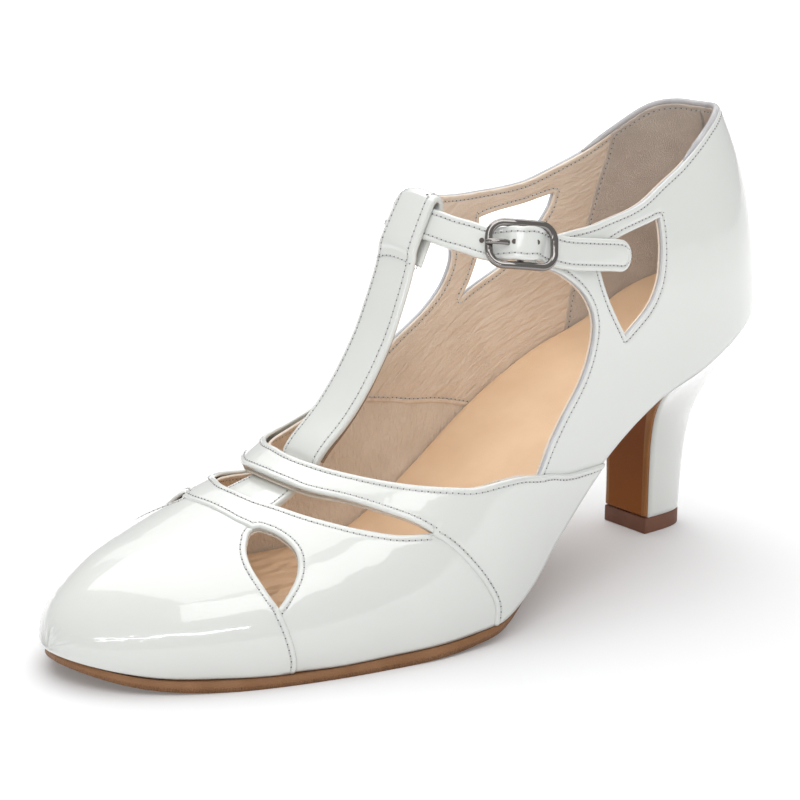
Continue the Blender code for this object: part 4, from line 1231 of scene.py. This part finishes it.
def reckon(tree, operation, first, second=None):
    """The result of a sum with one or two values."""
    inputs = {0: first} if second is None else {0: first, 1: second}
    return add(tree, "ShaderNodeMath", inputs, operation=operation).outputs[0]


def stitch_tree(thread, pricks):
    """Geometry Nodes: short threads along every line, with a dark ball between them as painted shade in a
    pricked hole.
    """
    tree = bpy.data.node_groups.new("Stitch rows", "GeometryNodeTree")
    tree.interface.new_socket("Lines", in_out="INPUT", socket_type="NodeSocketGeometry")
    for name in ("Pitch", "Length", "Radius"):
        tree.interface.new_socket(name, in_out="INPUT", socket_type="NodeSocketFloat")
    tree.interface.new_socket("Stitches", in_out="OUTPUT", socket_type="NodeSocketGeometry")
    given = tree.nodes.new("NodeGroupInput").outputs
    result = tree.nodes.new("NodeGroupOutput")
    spread = add(tree, "GeometryNodeResampleCurve", {
        "Curve": given["Lines"], "Length": given["Pitch"]}, mode="LENGTH")
    tangent = add(tree, "GeometryNodeInputTangent").outputs["Tangent"]
    turn = add(tree, "FunctionNodeAlignRotationToVector", {"Vector": tangent}, axis="Z")
    ball = add(tree, "GeometryNodeMeshUVSphere", {"Segments": 6, "Rings": 5, "Radius": given["Radius"]})
    ratio = reckon(tree, "DIVIDE", given["Length"], given["Radius"])
    long = reckon(tree, "MULTIPLY", ratio, 0.5)
    stretch = add(tree, "ShaderNodeCombineXYZ", {"X": 1.0, "Y": 1.0, "Z": long})
    longer = add(tree, "GeometryNodeTransform", {
        "Geometry": ball.outputs["Mesh"], "Scale": stretch.outputs["Vector"]})
    sway = add(tree, "FunctionNodeRandomValue", {2: 0.88, 3: 1.10, "Seed": 4}, data_type="FLOAT")
    threads = add(tree, "GeometryNodeInstanceOnPoints", {
        "Points": spread.outputs["Curve"], "Instance": longer.outputs["Geometry"],
        "Rotation": turn.outputs["Rotation"], "Scale": sway.outputs[1]})
    half_pitch = reckon(tree, "MULTIPLY", given["Pitch"], 0.5)
    move = add(tree, "ShaderNodeVectorMath", {0: tangent, "Scale": half_pitch}, operation="SCALE")
    between = add(tree, "GeometryNodeSetPosition", {
        "Geometry": spread.outputs["Curve"], "Offset": move.outputs["Vector"]})
    # Dark balls between the threads: painted shade in the stitch holes.
    prick = add(tree, "GeometryNodeMeshUVSphere", {"Segments": 6, "Rings": 4, "Radius": given["Radius"]})
    holes = add(tree, "GeometryNodeInstanceOnPoints", {
        "Points": between.outputs["Geometry"], "Instance": prick.outputs["Mesh"], "Scale": (0.8, 0.8, 0.8)})
    both = tree.nodes.new("GeometryNodeJoinGeometry")
    for spots, finish in ((threads, thread), (holes, pricks)):
        real = add(tree, "GeometryNodeRealizeInstances", {"Geometry": spots.outputs["Instances"]})
        coloured = add(tree, "GeometryNodeSetMaterial", {
            "Geometry": real.outputs["Geometry"], "Material": finish})
        tree.links.new(coloured.outputs["Geometry"], both.inputs["Geometry"])
    tree.links.new(both.outputs["Geometry"], result.inputs["Stitches"])
    return tree


def sew(name, lines, tree):
    """The stitches along these lines as one plain mesh."""
    data = bpy.data.curves.new(name + "_lines", "CURVE")
    data.dimensions = "3D"
    for points in lines:
        line = data.splines.new("POLY")
        line.points.add(len(points) - 1)
        line.points.foreach_set("co", np.column_stack([points, np.ones(len(points))]).ravel())
    seam = link_object(name + "_lines", data)
    tool = seam.modifiers.new("Stitches", "NODES")
    tool.node_group = tree
    sizes = {"Pitch": STITCH_PITCH, "Length": STITCH_LENGTH, "Radius": THREAD_RADIUS}
    for item in tree.interface.items_tree:
        if item.in_out == "INPUT" and item.name in sizes:
            tool[item.identifier] = sizes[item.name]
    bpy.context.view_layer.update()
    graph = bpy.context.evaluated_depsgraph_get()
    result = bpy.data.meshes.new_from_object(seam.evaluated_get(graph))
    result.shade_smooth()
    bpy.data.objects.remove(seam, do_unlink=True)
    return link_object(name, result)


# Finishes
def group(name, outputs=("Height",), **inputs):
    """An empty node group of plain numbers, with the sockets it is given and those it gives."""
    tree = bpy.data.node_groups.new(name, "ShaderNodeTree")
    for label, value in inputs.items():
        tree.interface.new_socket(label, in_out="INPUT", socket_type="NodeSocketFloat").default_value = value
    for label in outputs:
        tree.interface.new_socket(label, in_out="OUTPUT", socket_type="NodeSocketFloat")
    return tree, tree.nodes.new("NodeGroupInput").outputs, tree.nodes.new("NodeGroupOutput").inputs


def soft_waves():
    """Long, shallow unevenness of leather drawn over a last."""
    tree, given, result = group("Soft waves", Scale=40.0)
    place = add(tree, "ShaderNodeTexCoord").outputs["Object"]
    noise = add(tree, "ShaderNodeTexNoise", {
        "Vector": place, "Scale": given["Scale"], "Detail": 1.5, "Roughness": 0.4})
    tree.links.new(noise.outputs["Fac"], result["Height"])
    return tree


def leather_grain():
    """Pores and fine cells of a smooth leather."""
    tree, given, result = group("Leather grain", ("Height", "Shade"), Scale=1500.0)
    place = add(tree, "ShaderNodeTexCoord").outputs["Object"]
    cells = add(tree, "ShaderNodeTexVoronoi", {
        "Vector": place, "Scale": given["Scale"]}, feature="DISTANCE_TO_EDGE")
    patches = add(tree, "ShaderNodeTexNoise", {"Vector": place, "Scale": 90.0, "Detail": 5.0})
    tree.links.new(reckon(tree, "MINIMUM", cells.outputs["Distance"], 0.25), result["Height"])
    tree.links.new(patches.outputs["Fac"], result["Shade"])
    return tree


def shader(name, colour, roughness, metallic=0.0, coat=0.0, specular=0.5):
    """A material and its Principled BSDF."""
    made = bpy.data.materials.new(name)
    made.use_nodes = True
    base = made.node_tree.nodes["Principled BSDF"]
    values = {
        "Base Color": (*colour, 1.0), "Roughness": roughness, "Metallic": metallic,
        "Coat Weight": coat, "Coat Roughness": 0.03, "Specular IOR Level": specular,
    }
    for socket, value in values.items():
        base.inputs[socket].default_value = value
    return made, base


def add_bump(base, height, distance, before=None):
    """Gives a finish a height, on top of an earlier bump."""
    inputs = {"Height": height, "Distance": distance}
    if before:
        inputs["Normal"] = before.outputs["Normal"]
    bump = add(base.id_data, "ShaderNodeBump", inputs)
    base.id_data.links.new(bump.outputs["Normal"], base.inputs["Normal"])
    return bump


def two_tone(base, mask, low, high, start=0.3, end=0.7, socket="Base Color"):
    """Colours a finish between two tones by a mask."""
    ramp = add(base.id_data, "ShaderNodeValToRGB", {"Fac": mask})
    for element, position, colour in zip(ramp.color_ramp.elements, (start, end), (low, high)):
        element.position = position
        element.color = (*colour, 1)
    base.id_data.links.new(ramp.outputs["Color"], base.inputs[socket])


def placed(base, tree, **values):
    """The outputs of a node group, placed in a finish with these values."""
    return add(base.id_data, "ShaderNodeGroup", values, node_tree=tree).outputs


def chart_parts(tree):
    """The three numbers of a piece's own chart."""
    place = add(tree, "ShaderNodeAttribute", attribute_name="chart").outputs["Vector"]
    return add(tree, "ShaderNodeSeparateXYZ", {"Vector": place}).outputs


def chart_lines():
    """Fine lines that run along or across a piece, by its own chart."""
    tree, given, result = group("Chart lines", Along=20.0, Across=120.0, Detail=3.0)
    parts = chart_parts(tree)
    both = add(tree, "ShaderNodeCombineXYZ", {
        "X": reckon(tree, "MULTIPLY", parts["X"], given["Along"]),
        "Y": reckon(tree, "MULTIPLY", parts["Y"], given["Across"])})
    noise = add(tree, "ShaderNodeTexNoise", {
        "Vector": both.outputs["Vector"], "Detail": given["Detail"], "Scale": 1.0, "Roughness": 0.6,
        "Distortion": 0.4})
    tree.links.new(noise.outputs["Fac"], result["Height"])
    return tree


def edge_ribs():
    """Close upright ribs on the lower part of the sole's edge."""
    tree, given, result = group("Edge ribs", Pitch=0.7)
    parts = chart_parts(tree)
    turns = reckon(tree, "DIVIDE", parts["X"], given["Pitch"])
    wave = reckon(tree, "SINE", reckon(tree, "MULTIPLY", turns, 2 * np.pi))
    low = add(tree, "ShaderNodeMapRange", {"Value": parts["Z"], "From Min": 0.42, "From Max": 0.30})
    tree.links.new(reckon(tree, "MULTIPLY", wave, low.outputs["Result"]), result["Height"])
    return tree


def crinkles():
    """Crackled wrinkles of soft leather, only under the toes."""
    tree, given, result = group("Crinkles", Scale=260.0)
    place = add(tree, "ShaderNodeTexCoord").outputs["Object"]
    stretch = add(tree, "ShaderNodeMapping", {"Vector": place, "Scale": (1.0, 0.55, 1.0)})
    cells = add(tree, "ShaderNodeTexVoronoi", {
        "Vector": stretch.outputs["Vector"], "Scale": given["Scale"]}, feature="SMOOTH_F1")
    along = add(tree, "ShaderNodeSeparateXYZ", {"Vector": place}).outputs["Y"]
    toes = add(tree, "ShaderNodeMapRange", {"Value": along, "From Min": -0.095, "From Max": -0.118})
    held = reckon(tree, "MULTIPLY", cells.outputs["Distance"], toes.outputs["Result"])
    tree.links.new(held, result["Height"])
    return tree


def fade_by_height(base, low, high, bottom, top):
    """Colours a finish from low at one height of the shoe to high at another."""
    place = add(base.id_data, "ShaderNodeTexCoord").outputs["Object"]
    height = add(base.id_data, "ShaderNodeSeparateXYZ", {"Vector": place}).outputs["Z"]
    span = add(base.id_data, "ShaderNodeMapRange", {"Value": height, "From Min": bottom, "From Max": top})
    two_tone(base, span.outputs["Result"], low, high, 0.0, 1.0)


def patent_finish(waves):
    made, base = shader("white_patent", (0.69, 0.705, 0.675), 0.3, coat=1.0)
    base.inputs["Coat IOR"].default_value = 1.55
    first = add_bump(base, placed(base, waves, Scale=55.0)["Height"], 0.00030)
    second = add_bump(base, placed(base, waves, Scale=210.0)["Height"], 0.00005, first)
    base.id_data.links.new(second.outputs["Normal"], base.inputs["Coat Normal"])
    return made


def breast_finish(grain):
    made, base = shader("breast_leather", (0.17, 0.06, 0.02), 0.4, specular=0.10)
    # Painted light and shade over the breast's one even brown: lighter and more orange towards the bottom,
    # darker towards the top.
    fade_by_height(base, (0.28, 0.090, 0.016), (0.19, 0.050, 0.0085), 0.004, 0.050)
    add_bump(base, placed(base, grain, Scale=1400.0)["Height"], 0.0001)
    return made


def nickel_finish(waves):
    made, base = shader("dark_nickel", (0.25, 0.235, 0.225), 0.07, metallic=1.0)
    add_bump(base, placed(base, waves, Scale=500.0)["Height"], 0.00003)
    return made


def leather_finish(name, grain, low, high, roughness, scale, depth, specular):
    """A leather with pores of this scale and depth. Returns it with its base and its bump."""
    made, base = shader(name, low, roughness, specular=specular)
    fine = placed(base, grain, Scale=scale)
    two_tone(base, fine["Shade"], low, high)
    return made, base, add_bump(base, fine["Height"], depth)


# Columns: finish, name of its material, lower and upper tone, roughness, scale and depth of its
# pores, specular level
LEATHERS = (
    ("raw edge", "raw_edge", (0.50, 0.51, 0.54), (0.66, 0.67, 0.69), 0.85, 3000.0, 0.0002, 0.4),
    ("rim", "brushed_rim", (0.46, 0.45, 0.46), (0.66, 0.65, 0.66), 0.95, 2500.0, 0.0004, 0.15),
    ("lining", "lining_leather", (0.74, 0.62, 0.51), (0.82, 0.71, 0.60), 0.5, 1500.0, 0.0002, 0.4),
    ("vamp lining", "vamp_lining_cloth", (0.72, 0.62, 0.52), (0.80, 0.70, 0.60), 0.75, 1500.0, 0.0002, 0.25),
    ("suede", "suede_grip", (0.66, 0.58, 0.52), (0.78, 0.70, 0.63), 0.95, 2400.0, 0.0007, 0.15),
    ("insole", "insole_leather", (0.83, 0.58, 0.375), (0.88, 0.64, 0.43), 0.42, 1500.0, 0.00012, 0.4),
    ("sole", "sole_leather", (0.22, 0.105, 0.045), (0.30, 0.15, 0.072), 0.45, 1200.0, 0.0002, 0.25),
    ("breast edge", "breast_edge", (0.26, 0.105, 0.028), (0.33, 0.14, 0.042), 0.4, 1400.0, 0.0001, 0.25),
    ("rubber", "heel_rubber", (0.15, 0.062, 0.035), (0.20, 0.085, 0.05), 0.5, 2200.0, 0.0001, 0.3),
    ("bar lining", "bar_lining", (0.20, 0.12, 0.07), (0.28, 0.18, 0.11), 0.6, 1500.0, 0.0001, 0.4),
    # White thread coloured light grey: painted shade of the trough it lies in.
    ("thread", "white_thread_painted_shade", (0.56, 0.56, 0.55), (0.66, 0.66, 0.65), 0.7, 6000.0, 0.0001, 0.4),
)


def finishes():
    waves, grain, lines = soft_waves(), leather_grain(), chart_lines()
    made = {"patent": patent_finish(waves), "breast": breast_finish(grain), "nickel": nickel_finish(waves)}
    # Near black for the painted shade in the strap's punched holes.
    made["hole"] = shader("punched_hole_painted_shade", (0.10, 0.08, 0.07), 0.9)[0]
    # Dark grey for the painted shade in the stitch holes.
    made["pricks"] = shader("stitch_hole_painted_shade", (0.12, 0.12, 0.12), 0.9)[0]
    relief = {
        "lining": (lines, {"Along": 34.0, "Across": 66.0, "Detail": 1.0}, 0.0005),
        "vamp lining": (lines, {"Along": 240.0, "Across": 45.0, "Detail": 1.0}, 0.0005),
        "insole": (crinkles(), {"Scale": 300.0}, 0.0030),
        "sole": (edge_ribs(), {"Pitch": 0.7}, 0.0001),
    }
    for label, name, *values in LEATHERS:
        made[label], base, first = leather_finish(name, grain, *values)
        if label in relief:
            tree, scales, height = relief[label]
            add_bump(base, placed(base, tree, **scales)["Height"], height, first)
    return made


def light(name, place, aim, size, power, colour=(1, 1, 1)):
    data = bpy.data.lights.new(name, "AREA")
    data.shape = "RECTANGLE"
    data.size, data.size_y = size
    data.energy = power
    data.color = colour
    made = link_object(name, data)
    made.location = place
    made.rotation_euler = (Vector(aim) - Vector(place)).to_track_quat("-Z", "Y").to_euler()
    return made


def floor_finish():
    """Pale paper that glows with painted light, less of it round the shoe as painted shade, so that its
    shadows show.
    """
    made, base = shader("floor_paper_painted_glow", (0.76, 0.76, 0.765), 0.9, specular=0.1)
    add_bump(base, add(base.id_data, "ShaderNodeTexNoise", {"Scale": 300.0}).outputs["Fac"], 0.0001)
    place = add(base.id_data, "ShaderNodeTexCoord").outputs["Object"]
    away = add(base.id_data, "ShaderNodeVectorMath", {0: place, 1: (0.0, -0.09, 0.0)}, operation="DISTANCE")
    # Painted light: the floor's glow, dim round the shoe as painted shade and bright away from it.
    near, far = (0.10, 0.10, 0.10), (0.62, 0.62, 0.62)
    two_tone(base, away.outputs["Value"], near, far, 0.10, 0.65, "Emission Color")
    base.inputs["Emission Strength"].default_value = 1.0
    return made


def studio():
    """Pale floor, soft lights and the camera."""
    bpy.ops.mesh.primitive_plane_add(size=30, location=(0, 0, 0))
    floor = bpy.context.active_object
    floor.name = "floor"
    floor.data.materials.append(floor_finish())
    world = bpy.data.worlds.new("studio")
    bpy.context.scene.world = world
    world.use_nodes = True
    world.node_tree.nodes["Background"].inputs["Color"].default_value = (1, 1, 1, 1)
    world.node_tree.nodes["Background"].inputs["Strength"].default_value = 0.46
    light("top_box", (-0.40, 0.03, 1.0), (-0.40, 0.03, 0.0), (1.6, 1.15), 11.0)
    light("back_box", (-1.9, 1.5, 1.5), (-1.9, 1.5, 0.0), (3.0, 3.0), 19.0)
    light("front_strip", (0.50, -0.82, 0.33), (0.0, -0.16, 0.02), (1.1, 0.05), 1.3)
    light("side_box", (0.75, -0.40, 0.95), (0, -0.08, 0.04), (0.7, 0.5), 3.0)
    data = bpy.data.cameras.new("camera")
    data.sensor_width = SENSOR
    data.lens = FOCAL_WIDTHS * SENSOR
    data.clip_start, data.clip_end = 0.01, 20
    camera = link_object("camera", data)
    round_shoe, above = np.radians(CAMERA_ROUND), np.radians(CAMERA_ABOVE)
    back = np.array([np.sin(round_shoe) * np.cos(above), -np.cos(round_shoe) * np.cos(above), np.sin(above)])
    camera.location = Vector(np.array(CAMERA_TARGET) + CAMERA_DISTANCE * back)
    camera.rotation_euler = Vector(-back).to_track_quat("-Z", "Y").to_euler()
    bpy.context.scene.camera = camera
    bpy.context.scene.view_settings.view_transform = "Standard"


def main():
    studio()
    finish = finishes()
    made, lines = upper_pieces(finish)
    for name, piece in made.items():
        if name.endswith("lining") or name == "heel_grip":
            settle(piece, "tan_leather", "upper")
        else:
            settle(piece, "white_patent", "upper")
    bar, more = t_bar(finish["patent"])
    lines += more
    lines.append(t_bar_seam())
    settle(bar, "white_patent", "t_bar")
    settle(t_bar_lining(finish["bar lining"]), "tan_leather")
    settle(heel_rim(finish["rim"]), "tan_leather")
    strap, more = ankle_strap(finish["patent"])
    lines += more
    settle(strap, "white_patent", "ankle_strap")
    settle(buckle_chape(finish["patent"]), "white_patent", "buckle_chape")
    settle(strap_hole_painted_shade(finish["hole"]), "white_patent")
    settle(sew("stitches", lines, stitch_tree(finish["thread"], finish["pricks"])), "white_patent")
    settle(insole(finish["insole"]), "tan_leather", "insole")
    settle(outsole(finish["sole"]), "brown_sole", "outsole")
    settle(heel(finish["patent"]), "white_patent", "heel")
    settle(breast_cover(finish["breast"], finish["breast edge"]), "brown_breast", "breast_cover")
    settle(top_piece(finish["rubber"]), "brown_rubber", "top_piece")
    settle(buckle_frame(finish["nickel"]), "dark_nickel", "buckle_frame")
    settle(buckle_prong(finish["nickel"]), "dark_nickel", "buckle_prong")


main()
